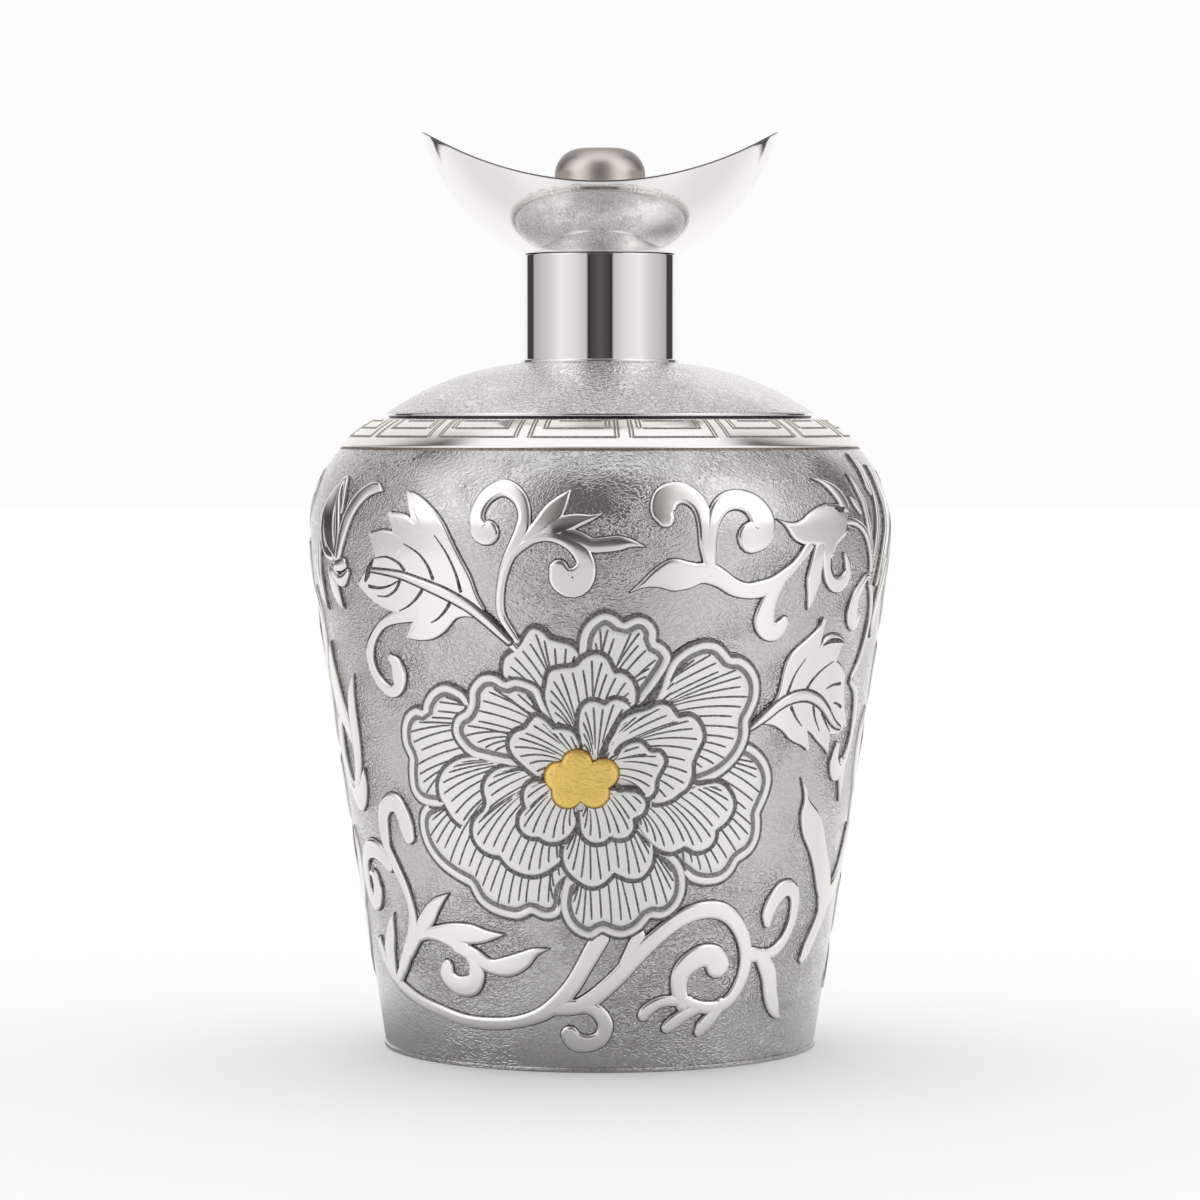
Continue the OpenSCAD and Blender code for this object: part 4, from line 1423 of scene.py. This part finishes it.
@dataclass
class Assembly:
    """A sub-assembly, whose pieces ride on one body."""

    finishes: Finishes
    body: ClassVar[Body]

    def settle(self, piece: Object, slot: Slot, *nodes: str) -> None:
        """Puts a piece on the body, hides the CAD nodes it stands for, and logs it.

        Args:
            piece: The piece.
            slot: Material slot it takes its finish from; not used.
            *nodes: CAD nodes that it stands for.
        """
        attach(piece, self.body.value)
        if nodes:
            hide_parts(*nodes)
        LOG.info("%s: %d faces on %s", piece.name, len(piece.data.polygons), self.body.value)

    def turn(self, name: str, section: Section, material: Material, slot: Slot, *nodes: str, steps: int = 256,
             rounding: float = 0.12) -> None:
        """Spins a closed half section round the axis and rounds its sharp edges.

        Args:
            name: Name of the piece.
            section: Radius and height of each corner, in order round the section.
            material: Its finish.
            slot: Material slot that the finish belongs to.
            *nodes: CAD nodes that the piece stands for.
            steps: Steps of the full spin.
            rounding: Width of the rounded edges in millimetres, zero for none.
        """
        bm = bmesh.new()
        corners = held_corners(section, EDGE_HOLD * rounding)
        verts = [bm.verts.new((r * MM, 0.0, z * MM)) for r, z in corners]
        edges = [bm.edges.new(pair) for pair in zip(verts, [*verts[1:], verts[0]])]
        bmesh.ops.spin(bm, geom=[*verts, *edges], cent=(0, 0, 0), axis=(0, 0, 1), angle=2 * math.pi,
                       steps=steps, use_merge=True)
        bmesh.ops.remove_doubles(bm, verts=bm.verts, dist=MERGE)
        bmesh.ops.dissolve_degenerate(bm, edges=bm.edges, dist=SLIVER)
        bmesh.ops.recalc_face_normals(bm, faces=bm.faces)
        if rounding:
            round_sharp(bm, TURNED_SHARP, rounding)
        self.settle(finished(name, bm, material, Crease.TURNED), slot, *nodes)


@dataclass
class Jar(Assembly):
    """The jar: wall, foot, mouth collar, key band, scrolls and flowers."""

    body: ClassVar[Body] = Body.VESSEL
    foot_t: float = 3.3
    collar_t: float = 1.0
    collar_gap: float = 0.02
    band_lift: float = 0.35
    band_sunk: float = 0.05
    band_low: float = 95.2
    band_gap: float = 0.05
    band_steps: int = 16
    # Offset and lift of the dark ring at the band's foot: a painted shade under the band's step.
    band_foot_shade: tuple[Pair, ...] = ((-0.34, -0.04), (-0.28, 0.02), (0.04, 0.02), (0.06, 0.2))
    band_foot_shade_step: int = 3
    key_units: int = 16
    key_start: float = -5.9
    key_rows: int = 8
    flower_turn: float = 0.85
    bed_at: Pair = (-4.85, 45.0)
    bed_reach: Pair = (33.0, 17.0)
    bed_columns: int = 72
    bed_rings: tuple[Triple, ...] = (
        (1.0, -0.05, 1.0), (0.98, 0.3, 0.0), (0.6, 0.3, 0.0), (0.25, 0.3, 0.0), (0.0, 0.3, 0.0))
    heart_at: Pair = (-3.8, 45.6)
    heart_r: float = 1.5
    heart_lobes: tuple[Pair, ...] = ((-0.6, 2.25), (3.1, 0.95), (1.8, -2.0), (-2.1, -2.1), (-3.1, 0.45))
    heart_lobe_r: float = 2.25
    heart_columns: int = 120
    heart_rings: tuple[Triple, ...] = (
        (1.08, 0.7, 1.0), (1.04, 1.2, 1.0), (0.99, 1.4, 0.7), (0.94, 1.56, 0.0), (0.8, 1.6, 0.0),
        (0.55, 1.62, 0.0), (0.3, 1.6, 0.0), (0.1, 1.58, 0.0), (0.0, 1.58, 0.0))

    def build(self) -> None:
        """Builds and dresses every piece of the jar."""
        self._wall()
        self._foot()
        self._band()
        self._key()
        for side in Side:
            self._scrolls(side)
            self._flower(side)
            self._heart(side)

    def _wall(self) -> None:
        """The grained wall, from the foot to the ledge under the lid."""
        mouth = WALL.mouth_r + self.collar_gap
        ledge = [(mouth, WALL.ledge_z), (mouth, WALL.ledge_z - WALL.thickness)]
        section = [*WALL.outline(0.0), *ledge, *reversed(WALL.outline(WALL.thickness))]
        self.turn("jar_wall", section, self.finishes.wall, Slot.MATT, "body_shell")

    def _foot(self) -> None:
        """The thin foot rim and the collar in the mouth."""
        foot = ring_of("foot_rim", self.foot_t)
        self.turn("jar_foot", foot, self.finishes.wall, Slot.MATT, "foot_rim")
        collar = ring_of("mouth_collar", self.collar_t)
        self.turn("jar_collar", collar, self.finishes.bright, Slot.BRIGHT, "mouth_collar")

    def _band(self) -> None:
        """The raised polished band on the shoulder."""
        centre, size = WALL.shoulder_c, WALL.shoulder_arc
        top = WALL.ledge_z - self.band_gap
        first = math.degrees(math.asin((self.band_low - WALL.belly_z) / size))
        last = math.degrees(math.asin((top - WALL.belly_z) / (size + self.band_lift)))
        section = [*arc(centre, size + self.band_lift, first, last, self.band_steps),
                   *arc(centre, size - self.band_sunk, last, first, self.band_steps)]
        self.turn("key_band", section, self.finishes.key, Slot.BRIGHT, "fret_band", rounding=0.15)

    def _key(self) -> None:
        """The key fret chased in the band, each unit the mirror of the next, and a dark ring of painted shade
        at the foot of the band.
        """
        bm = bmesh.new()
        for unit in range(self.key_units):
            hand = 1 - 2 * (unit % 2)
            turned = self.key_start + unit * 360.0 / self.key_units
            for (turn0, z0), (turn1, z1), half in KEY_LINES:
                line = self._line((turn0 * hand, z0, half), (turn1 * hand, z1, half))
                lay_sheet(bm, line.sheet(), turned)
        # A dark ring at the foot of the band: painted shade where the band's step meets the wall.
        turns = range(0, 361, self.band_foot_shade_step)
        lay_sheet(bm, [[(turn, self.band_low + rise, lift, 1.0) for turn in turns]
                       for rise, lift in self.band_foot_shade], 0.0)
        bmesh.ops.remove_doubles(bm, verts=bm.verts, dist=MERGE)
        self.settle(finished("key_fret", bm, self.finishes.key, Crease.FRET), Slot.BRIGHT)

    def _line(self, start: WallPoint, end: WallPoint) -> Stroke:
        """A straight line of the fret, with enough points to follow the shoulder."""
        shares = [i / self.key_rows for i in range(self.key_rows + 1)]
        return Stroke(tuple(tuple(a + (b - a) * t for a, b in zip(start, end)) for t in shares), Chasing.KEY)

    def _relief(self, name: str, sheets: Iterable[Sheet], turned: float, material: Material, slot: Slot,
                *nodes: str) -> None:
        """Joins sheets on the wall in one piece.

        Args:
            name: Name of the piece.
            sheets: The sheets.
            turned: Degrees that they are carried round the jar.
            material: Its finish.
            slot: Material slot that the finish belongs to.
            *nodes: CAD nodes that the piece stands for.
        """
        bm = bmesh.new()
        for sheet in sheets:
            lay_sheet(bm, sheet, turned)
        bmesh.ops.remove_doubles(bm, verts=bm.verts, dist=MERGE)
        bmesh.ops.dissolve_degenerate(bm, edges=bm.edges, dist=SLIVER)
        self.settle(finished(name, bm, material, Crease.RELIEF), slot, *nodes)

    def _scrolls(self, side: Side) -> None:
        """Scrolls and leaves of one face.

        Args:
            side: Face of the jar.
        """
        parts = (("upper", LEFT_BLADE, UPPER_SCROLLS + LEFT_LEAF + LEFT_EDGE),
                 ("lower", RIGHT_BLADE, LOWER_SCROLLS + RIGHT_LEAF + SIDE_VINE))
        for part, leaf, strokes in parts:
            sheets = [shape.sheet() for shape in (PetalSheet(leaf), *strokes)]
            name = f"{side.label}_{part}_scrolls"
            self._relief(name, sheets, side.value, self.finishes.relief, Slot.CHASED)

    def _flower(self, side: Side) -> None:
        """The peony of one face, petal over petal on a bright oval bed.

        Args:
            side: Face of the jar.
        """
        sheets = [self._rings(self.bed_columns, self.bed_rings, self._bed_point)]
        for layout in map(PetalSheet, PETALS):
            sheets += [layout.sheet(), *layout.veins()]
        turned = side.value + self.flower_turn
        name, node = f"{side.label}_flower", f"{side.label}_peony"
        self._relief(name, sheets, turned, self.finishes.petal, Slot.CHASED, node)

    def _heart(self, side: Side) -> None:
        """The five-lobed gilt heart of a flower.

        Args:
            side: Face of the jar.
        """
        sheet = self._rings(self.heart_columns, self.heart_rings, self._heart_point)
        name, node = f"{side.label}_heart", f"{side.label}_gilt_centre"
        self._relief(name, [sheet], side.value, self.finishes.gilt, Slot.GILT, node)

    def _rings(self, columns: int, rings: Iterable[Triple], point: Callable[[float, float], Pair]) -> Sheet:
        """Rings of points round a middle.

        Args:
            columns: Points round each ring.
            rings: Share of the reach, lift and darkness of each ring.
            point: Turns a share and an angle in radians into turn and height.

        Returns:
            Rows of turn, height, lift and darkness.
        """
        angles = [2 * math.pi * i / columns for i in range(columns + 1)]
        return [[(*point(share, angle), lift, dark) for angle in angles] for share, lift, dark in rings]

    def _bed_point(self, share: float, angle: float) -> Pair:
        """Turn and height on an oval of the bed that the petals cover."""
        return (self.bed_at[0] + self.bed_reach[0] * share * math.cos(angle),
                self.bed_at[1] + self.bed_reach[1] * share * math.sin(angle))

    def _heart_point(self, share: float, angle: float) -> Pair:
        """Turn and height on a lobed ring of the heart."""
        reach = self._heart_reach(angle) * share
        return WALL.moved(self.heart_at, (reach * math.cos(angle), reach * math.sin(angle)))

    def _heart_reach(self, angle: float) -> float:
        """Distance from the heart's middle to its lobed edge.

        Args:
            angle: Direction in radians.

        Returns:
            The distance in millimetres.
        """
        along = Vector((math.cos(angle), math.sin(angle)))
        reach = self.heart_r
        for lobe in self.heart_lobes:
            spot = Vector(lobe)
            off = abs(spot.x * along.y - spot.y * along.x)
            if off < self.heart_lobe_r:
                reach = max(reach, spot.dot(along) + math.sqrt(self.heart_lobe_r ** 2 - off ** 2))
        return reach


@dataclass
class Lid(Assembly):
    """The lift-off lid: grained dome, skirt and mirror neck."""

    body: ClassVar[Body] = Body.LID
    rim_h: float = 0.45
    dome_arc: float = 44.2
    dome_steps: int = 24
    wall: float = 1.0
    wall_foot: float = 0.2
    line_in: float = 0.4
    line_out: float = 0.03
    line_below: float = 0.08
    line_above: float = 0.4
    # The next three fields place the near-black ring that paints the shadow in the gap under the lid.
    gap_shadow_in: Pair = (1.0, 0.3)
    gap_shadow_gap: float = 0.05
    gap_shadow_above: float = 0.1
    neck_t: float = 1.3
    seat_gap: float = 0.2
    bowl_gap: float = 0.04
    bead_t: float = 0.6
    bead_sunk: float = 0.1
    skirt_t: float = 0.8

    def build(self) -> None:
        """Builds and dresses every piece of the lid."""
        self._dome()
        self._neck()
        self._skirt()

    def _dome(self) -> None:
        """The shallow dome with its upright edge and a bright line at its foot. Below it is a near-black ring
        that paints the shadow in the gap under the lid.
        """
        low, high = box_mm("lid_dome")
        neck_r = box_mm("neck_tube")[1].x
        edge, crown = Vector((high.x, low.z + self.rim_h)), Vector((neck_r, high.z))
        chord = crown - edge
        rise = math.sqrt(self.dome_arc ** 2 - (chord.length / 2) ** 2)
        centre = (edge + crown) / 2 + Vector((-chord.y, chord.x)).normalized() * rise
        first, last = (math.degrees(math.atan2(end.y - centre.y, end.x - centre.x)) for end in (edge, crown))
        outer = arc(tuple(centre), self.dome_arc, first, last, self.dome_steps)
        inner = arc(tuple(centre), self.dome_arc - self.wall, first, last, self.dome_steps)
        inner[0] = (edge.x - self.wall, edge.y - self.wall_foot)
        section = [(edge.x, low.z), *outer, *reversed(inner), (edge.x - self.wall, low.z)]
        self.turn("lid_dome_shell", section, self.finishes.dome, Slot.MATT, "lid_dome", rounding=0.18)
        line = ring_section(edge.x - self.line_in, edge.x + self.line_out, low.z - self.line_below,
                            low.z + self.line_above)
        self.turn("lid_edge_line", line, self.finishes.bright, Slot.BRIGHT)
        # A near-black ring in the gap under the lid's edge: a painted shadow, so that the gap reads dark.
        step = ring_section(edge.x - self.gap_shadow_in[0], edge.x - self.gap_shadow_in[1],
                            WALL.ledge_z + self.gap_shadow_gap, low.z + self.gap_shadow_above)
        self.turn("lid_gap_shadow_ring", step, self.finishes.gap_shadow, Slot.BRIGHT, rounding=0.0)

    def _neck(self) -> None:
        """The mirror neck with its hollowed seat and the bead at its foot."""
        low, high = box_mm("neck_tube")
        bore = high.x - self.neck_t
        centre = high.z + math.sqrt((BOWL_R + self.seat_gap) ** 2 - high.x ** 2)
        seat = BOWL_R + self.bowl_gap
        top, lip = (centre - math.sqrt(seat ** 2 - r * r) for r in (high.x, bore))
        section = [(bore, low.z), (high.x, low.z), (high.x, top), (bore, lip)]
        self.turn("neck_mirror", section, self.finishes.mirror, Slot.MIRROR, "neck_tube", rounding=0.07)
        ring = ring_of("neck_bead", self.bead_t, self.bead_sunk)
        self.turn("neck_foot_bead", ring, self.finishes.bright, Slot.BRIGHT, "neck_bead", rounding=0.16)

    def _skirt(self) -> None:
        """The skirt that drops into the mouth collar."""
        skirt = ring_of("lid_skirt", self.skirt_t)
        self.turn("lid_skirt_ring", skirt, self.finishes.bright, Slot.BRIGHT, "lid_skirt")


@dataclass
class Stopper(Assembly):
    """The ingot stopper: mirror bowl, the line along its rim, and satin button."""

    body: ClassVar[Body] = Body.STOPPER
    bowl_t: float = 0.9
    rim_low: float = 13.1
    rim_arc: float = 49.4
    rim_round: float = 0.3
    rim_sharp: float = 35.0
    halvings: int = 40
    hole_r: float = 2.1
    columns: int = 288
    rows: int = 40
    line_in: float = 0.1
    line_r: float = 0.13
    line_sides: int = 8
    button_r: Pair = (8.0, 7.2)
    button_foot: Triple = (0.3, 0.9, 1.2)
    button_step: float = 0.6
    button_round: float = 4.3
    button_steps: int = 14
    button_turns: int = 192
    foot: float = field(default_factory=lambda: box_mm("ingot_bowl")[0].z)

    def build(self) -> None:
        """Builds and dresses every piece of the stopper."""
        self._bowl()
        self._rim_line()
        self._button()

    def _bearing(self, i: int) -> float:
        """Direction of a column round the axis, in radians."""
        return 2 * math.pi * i / self.columns

    def _rim_angle(self, radius: float, turn: float) -> float:
        """Angle up from the bowl's foot to its rim in one direction.

        Args:
            radius: Radius of the sphere, inner or outer.
            turn: Direction round the axis in radians.

        Returns:
            The angle at the sphere's centre in radians.
        """
        centre = self.foot + BOWL_R
        axis = self.foot + self.rim_low + self.rim_arc
        low, high = 0.1, math.pi / 2
        for _ in range(self.halvings):
            angle = (low + high) / 2
            x, z = radius * math.sin(angle) * math.sin(turn), centre - radius * math.cos(angle)
            cut = axis - math.sqrt(self.rim_arc ** 2 - x * x)
            low, high = (angle, high) if z < cut else (low, angle)
        return low

    def _spot(self, turn: float, angle: float, radius: float) -> Vector:
        """Point on a sphere of the bowl, in metres.

        Args:
            turn: Direction round the axis in radians.
            angle: Angle up from the foot at the sphere's centre, in radians.
            radius: Radius of the sphere.

        Returns:
            The point in the model's frame.
        """
        flat = radius * math.sin(angle)
        height = self.foot + BOWL_R - radius * math.cos(angle)
        return Vector((flat * math.sin(turn), -flat * math.cos(turn), height)) * MM

    def _rim_line(self) -> None:
        """The thin dark line along the outer edge of the bowl's rim."""
        radius = BOWL_R - self.line_in
        rim = []
        for turn in map(self._bearing, range(self.columns)):
            rim.append(self._spot(turn, self._rim_angle(radius, turn) - self.line_in / radius, radius))
        middle = Vector((0.0, 0.0, self.foot + BOWL_R)) * MM
        sides = self.line_sides
        bm = bmesh.new()
        made = bmesh.ops.create_grid(bm, x_segments=sides, y_segments=self.columns, size=1.0)["verts"]
        for number, vert in enumerate(made):
            i = number // (sides + 1) % self.columns
            angle = 2 * math.pi * (number % (sides + 1)) / sides
            out = (rim[i] - middle).normalized()
            across = (rim[(i + 1) % self.columns] - rim[i - 1]).cross(out).normalized()
            vert.co = rim[i] + (out * math.cos(angle) + across * math.sin(angle)) * (self.line_r * MM)
        bmesh.ops.remove_doubles(bm, verts=bm.verts, dist=MERGE)
        bmesh.ops.recalc_face_normals(bm, faces=bm.faces)
        self.settle(finished("ingot_rim_line", bm, self.finishes.bowl_rim, Crease.RELIEF), Slot.MIRROR)

    def _bowl(self) -> None:
        """The thin bowl, its rim sweeping up to a tip on each side."""
        inner_r = BOWL_R - self.bowl_t
        wide, deep = self.columns + 1, 2 * self.rows + 1
        rims = {r: [self._rim_angle(r, self._bearing(i)) for i in range(wide)] for r in (BOWL_R, inner_r)}
        bm = bmesh.new()
        made = bmesh.ops.create_grid(bm, x_segments=self.columns, y_segments=deep, size=1.0)["verts"]
        for number, vert in enumerate(made):
            i, j = number % wide, number // wide
            radius, share = (BOWL_R, j / self.rows) if j <= self.rows else (inner_r, (deep - j) / self.rows)
            start = math.asin(self.hole_r / radius)
            vert.co = self._spot(self._bearing(i), start + (rims[radius][i] - start) * share, radius)
        bmesh.ops.remove_doubles(bm, verts=bm.verts, dist=MERGE)
        bmesh.ops.bridge_loops(bm, edges=[e for e in bm.edges if len(e.link_faces) == 1])
        bmesh.ops.recalc_face_normals(bm, faces=bm.faces)
        round_sharp(bm, self.rim_sharp, self.rim_round)
        bowl = finished("ingot_mirror_bowl", bm, self.finishes.bowl, Crease.BOWL)
        self.settle(bowl, Slot.MIRROR, "ingot_bowl")

    def _button(self) -> None:
        """The satin button that stands in the bowl."""
        low, high = box_mm("ingot_button")
        foot_r, top_r = self.button_r
        middle, step, side = (low.z + rise for rise in self.button_foot)
        shoulder = (top_r - self.button_round, high.z - self.button_round)
        section = [(0.0, middle), (foot_r - self.button_step, step), (foot_r, side),
                   *arc(shoulder, self.button_round, 0, 90, self.button_steps), (0.0, high.z)]
        self.turn("ingot_satin_button", section, self.finishes.satin, Slot.SATIN, "ingot_button",
                  steps=self.button_turns, rounding=0.0)


@dataclass
class Fittings:
    """CAD nodes that keep their own shape and get a finish."""

    finishes: Finishes

    def dress(self) -> None:
        """Gives each kept node its finish."""
        kept = {
            self.finishes.wall: ("base_plate",),
            self.finishes.bright: ("lid_rim_wire", "lid_deck", "stopper_plug", "stopper_stud",
                                   "stopper_washer", "stopper_nut"),
            self.finishes.seal: ("lid_gasket", "upper_seal_ring", "lower_seal_ring"),
        }
        for material, names in kept.items():
            for name in names:
                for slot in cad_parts[name].material_slots:
                    slot.material = material
                LOG.info("%s: finished as %s", name, material.name)


@dataclass
class Studio:
    """Floor, light tent and camera. Stops are shares of the way round to the back, with a brightness."""

    eye: Triple = (0.0, -0.72, 0.1007)
    aim: Triple = (0.0, 0.0, 0.0708)
    view_width: float = 0.1914
    sensor: float = 36.0
    floor_half: float = 4.0
    paper: float = 0.975
    tooth: Pair = (0.935, 0.95)
    # The next five fields paint the floor as reflections see it. They give the grey of a painted contact
    # shadow, where white near the vessel gives way to painted light round the stage, where and to which side
    # the painted shadow reaches, and where it all fades to the tent's level far off.
    shaded: float = 0.1
    near: Quad = (0.036, 0.16, 0.4, 1.0)
    painted_contact_shadow: Quad = (0.036, 0.078, 0.62, 0.0)
    painted_shadow_side: Quad = (-0.06, 0.06, 1.15, 0.3)
    far: Quad = (0.62, 0.88, 0.0, 1.0)
    raised: Quad = (0.05, 0.2, 0.0, 1.0)
    roof: Quad = (0.79, 0.9, 0.0, 1.0)
    soft: Quad = (-1.0, 1.0, 0.62, 1.5)
    level_stops: tuple[Pair, ...] = (
        (0.0, 0.1), (0.1, 0.04), (0.115, 0.56), (0.2, 0.72), (0.34, 0.88), (0.45, 0.66), (0.6, 0.5),
        (0.665, 0.42), (0.675, 0.05), (0.795, 0.06), (0.81, 0.92), (1.0, 1.0))
    raised_stops: tuple[Pair, ...] = (
        (0.0, 0.17), (0.08, 0.17), (0.16, 0.45), (0.22, 1.0), (0.3, 1.35), (0.4, 1.25), (0.47, 0.95),
        (0.53, 0.78), (0.59, 0.6), (0.635, 0.25), (0.66, 0.1), (0.7, 0.1), (0.745, 0.45), (0.8, 0.8),
        (1.0, 1.0))
    # Painted light on the floor round the stage, as reflections see it.
    painted_floor_light_stops: tuple[Pair, ...] = (
        (0.0, 0.66), (0.1, 0.68), (0.2, 0.9), (0.3, 0.98), (0.38, 0.94), (0.47, 0.82), (0.6, 0.78),
        (0.68, 0.85), (0.78, 0.95), (1.0, 1.0))

    def build(self) -> None:
        """Builds the stage."""
        self._floor()
        self._tent()
        self._camera()
        bpy.context.scene.view_settings.view_transform = "Standard"

    def _floor(self) -> None:
        """A pale floor that keeps the vessel's shadow. In reflections it shows painted light round the stage
        and a painted contact shadow at the foot.
        """
        material, bench, shader = new_material("paper_floor")
        place = bench.place()
        tooth = bench.noise(place, scale=900.0, detail=2.0)[0]
        paper = bench.blend(tooth, *map(grey, self.tooth))
        # For glossy rays the floor's colour is painted: white near the vessel, painted light round the stage
        # further out, a painted contact shadow at the foot, and the tent's level far off.
        spot, share = self._round(bench, place)
        away = bench.add("ShaderNodeVectorMath", {0: place}, operation="LENGTH").outputs["Value"]
        painted_floor_light = self._ramp(bench, share, self.painted_floor_light_stops)
        lit = bench.blend(bench.fit(away, *self.near), grey(1.0), painted_floor_light)
        painted_shadow_share = bench.math("MULTIPLY", bench.fit(away, *self.painted_contact_shadow), bench.fit(spot[0], *self.painted_shadow_side))
        lit = bench.blend(painted_shadow_share, lit, grey(self.shaded))
        level = self._ramp(bench, share, self.level_stops)
        lit = bench.blend(bench.fit(away, *self.far), lit, level)
        # Only glossy rays see the painted light and shadow; camera and diffuse rays see the plain paper.
        painted_reflected_floor = bench.add("ShaderNodeMix", {0: 1.0, 6: paper, 7: lit}, data_type="RGBA", blend_type="MULTIPLY")
        mirrored = bench.add("ShaderNodeLightPath").outputs["Is Glossy Ray"]
        bench.put(shader, {
            "Base Color": bench.blend(mirrored, paper, painted_reflected_floor.outputs[2]),
            "Roughness": 0.85,
            "Specular IOR Level": 0.1,
        })
        bm = bmesh.new()
        bmesh.ops.create_grid(bm, x_segments=8, y_segments=8, size=self.floor_half)
        finished("floor", bm, material, Crease.TURNED)

    def _tent(self) -> None:
        """A soft white tent: a slot for the camera, a softbox each side and dark flags beside and behind."""
        world = bpy.data.worlds.new("light_tent")
        bpy.context.scene.world = world
        world.use_nodes = True
        bench = Bench(world.node_tree)
        way, share = self._round(bench, bench.add("ShaderNodeTexCoord").outputs["Generated"])
        level = self._ramp(bench, share, self.level_stops)
        raised = self._ramp(bench, share, self.raised_stops)
        sides = bench.blend(bench.fit(way[2], *self.raised), level, raised)
        tent = bench.blend(bench.fit(way[2], *self.roof), sides, grey(1.0))
        path = bench.add("ShaderNodeLightPath").outputs
        plain = bench.blend(path["Is Camera Ray"], bench.fit(way[1], *self.soft), grey(self.paper))
        sky = world.node_tree.nodes["Background"]
        bench.put(sky, {"Color": bench.blend(path["Is Glossy Ray"], plain, tent)})

    def _round(self, bench: Bench, place: NodeSocket) -> tuple:
        """Direction of a place as seen from the axis.

        Args:
            bench: Bench of the tree.
            place: The place.

        Returns:
            Its x, y and z, and its share of the way round, 0 in front and 1 behind.
        """
        parts = bench.add("ShaderNodeSeparateXYZ", {0: place}).outputs
        turn = bench.math("ARCTAN2", parts[0], bench.math("MULTIPLY", parts[1], -1.0))
        return parts, bench.math("DIVIDE", bench.math("ABSOLUTE", turn), math.pi)

    def _ramp(self, bench: Bench, share: NodeSocket, stops: tuple[Pair, ...]) -> NodeSocket:
        """Brightness round the stage, from the camera's side to the back, warmer where it is darker.

        Args:
            bench: Bench of the tree.
            share: Share of the way round, 0 in front and 1 behind.
            stops: Shares with their brightness.

        Returns:
            The colour.
        """
        ramp = bench.add("ShaderNodeValToRGB", {0: share})
        elements = ramp.color_ramp.elements
        while len(elements) < len(stops):
            elements.new(1.0)
        for element, (where, bright) in zip(elements, stops):
            warm = 0.1 * max(0.0, 0.6 - bright)
            element.position = where
            element.color = (bright, bright * (0.985 - warm), bright * (0.96 - 2 * warm), 1.0)
        return ramp.outputs[0]

    def _camera(self) -> None:
        """A long lens a little above the jar's middle."""
        lens = bpy.data.cameras.new("camera")
        eye, aim = Vector(self.eye), Vector(self.aim)
        lens.sensor_fit = "HORIZONTAL"
        lens.sensor_width = self.sensor
        lens.lens = self.sensor * (aim - eye).length / self.view_width
        camera = bpy.data.objects.new("camera", lens)
        camera.location = eye
        camera.rotation_euler = (aim - eye).to_track_quat("-Z", "Y").to_euler()
        bpy.context.scene.collection.objects.link(camera)
        bpy.context.scene.camera = camera


def main() -> None:
    """Builds the vessel's pieces in order, then the stage."""
    logging.basicConfig(level=logging.INFO, format="%(name)s %(message)s")
    finishes = Finishes()
    for part in (Jar(finishes), Lid(finishes), Stopper(finishes)):
        part.build()
    Fittings(finishes).dress()
    Studio().build()
    bpy.context.view_layer.update()


if __name__ == "__main__":
    main()
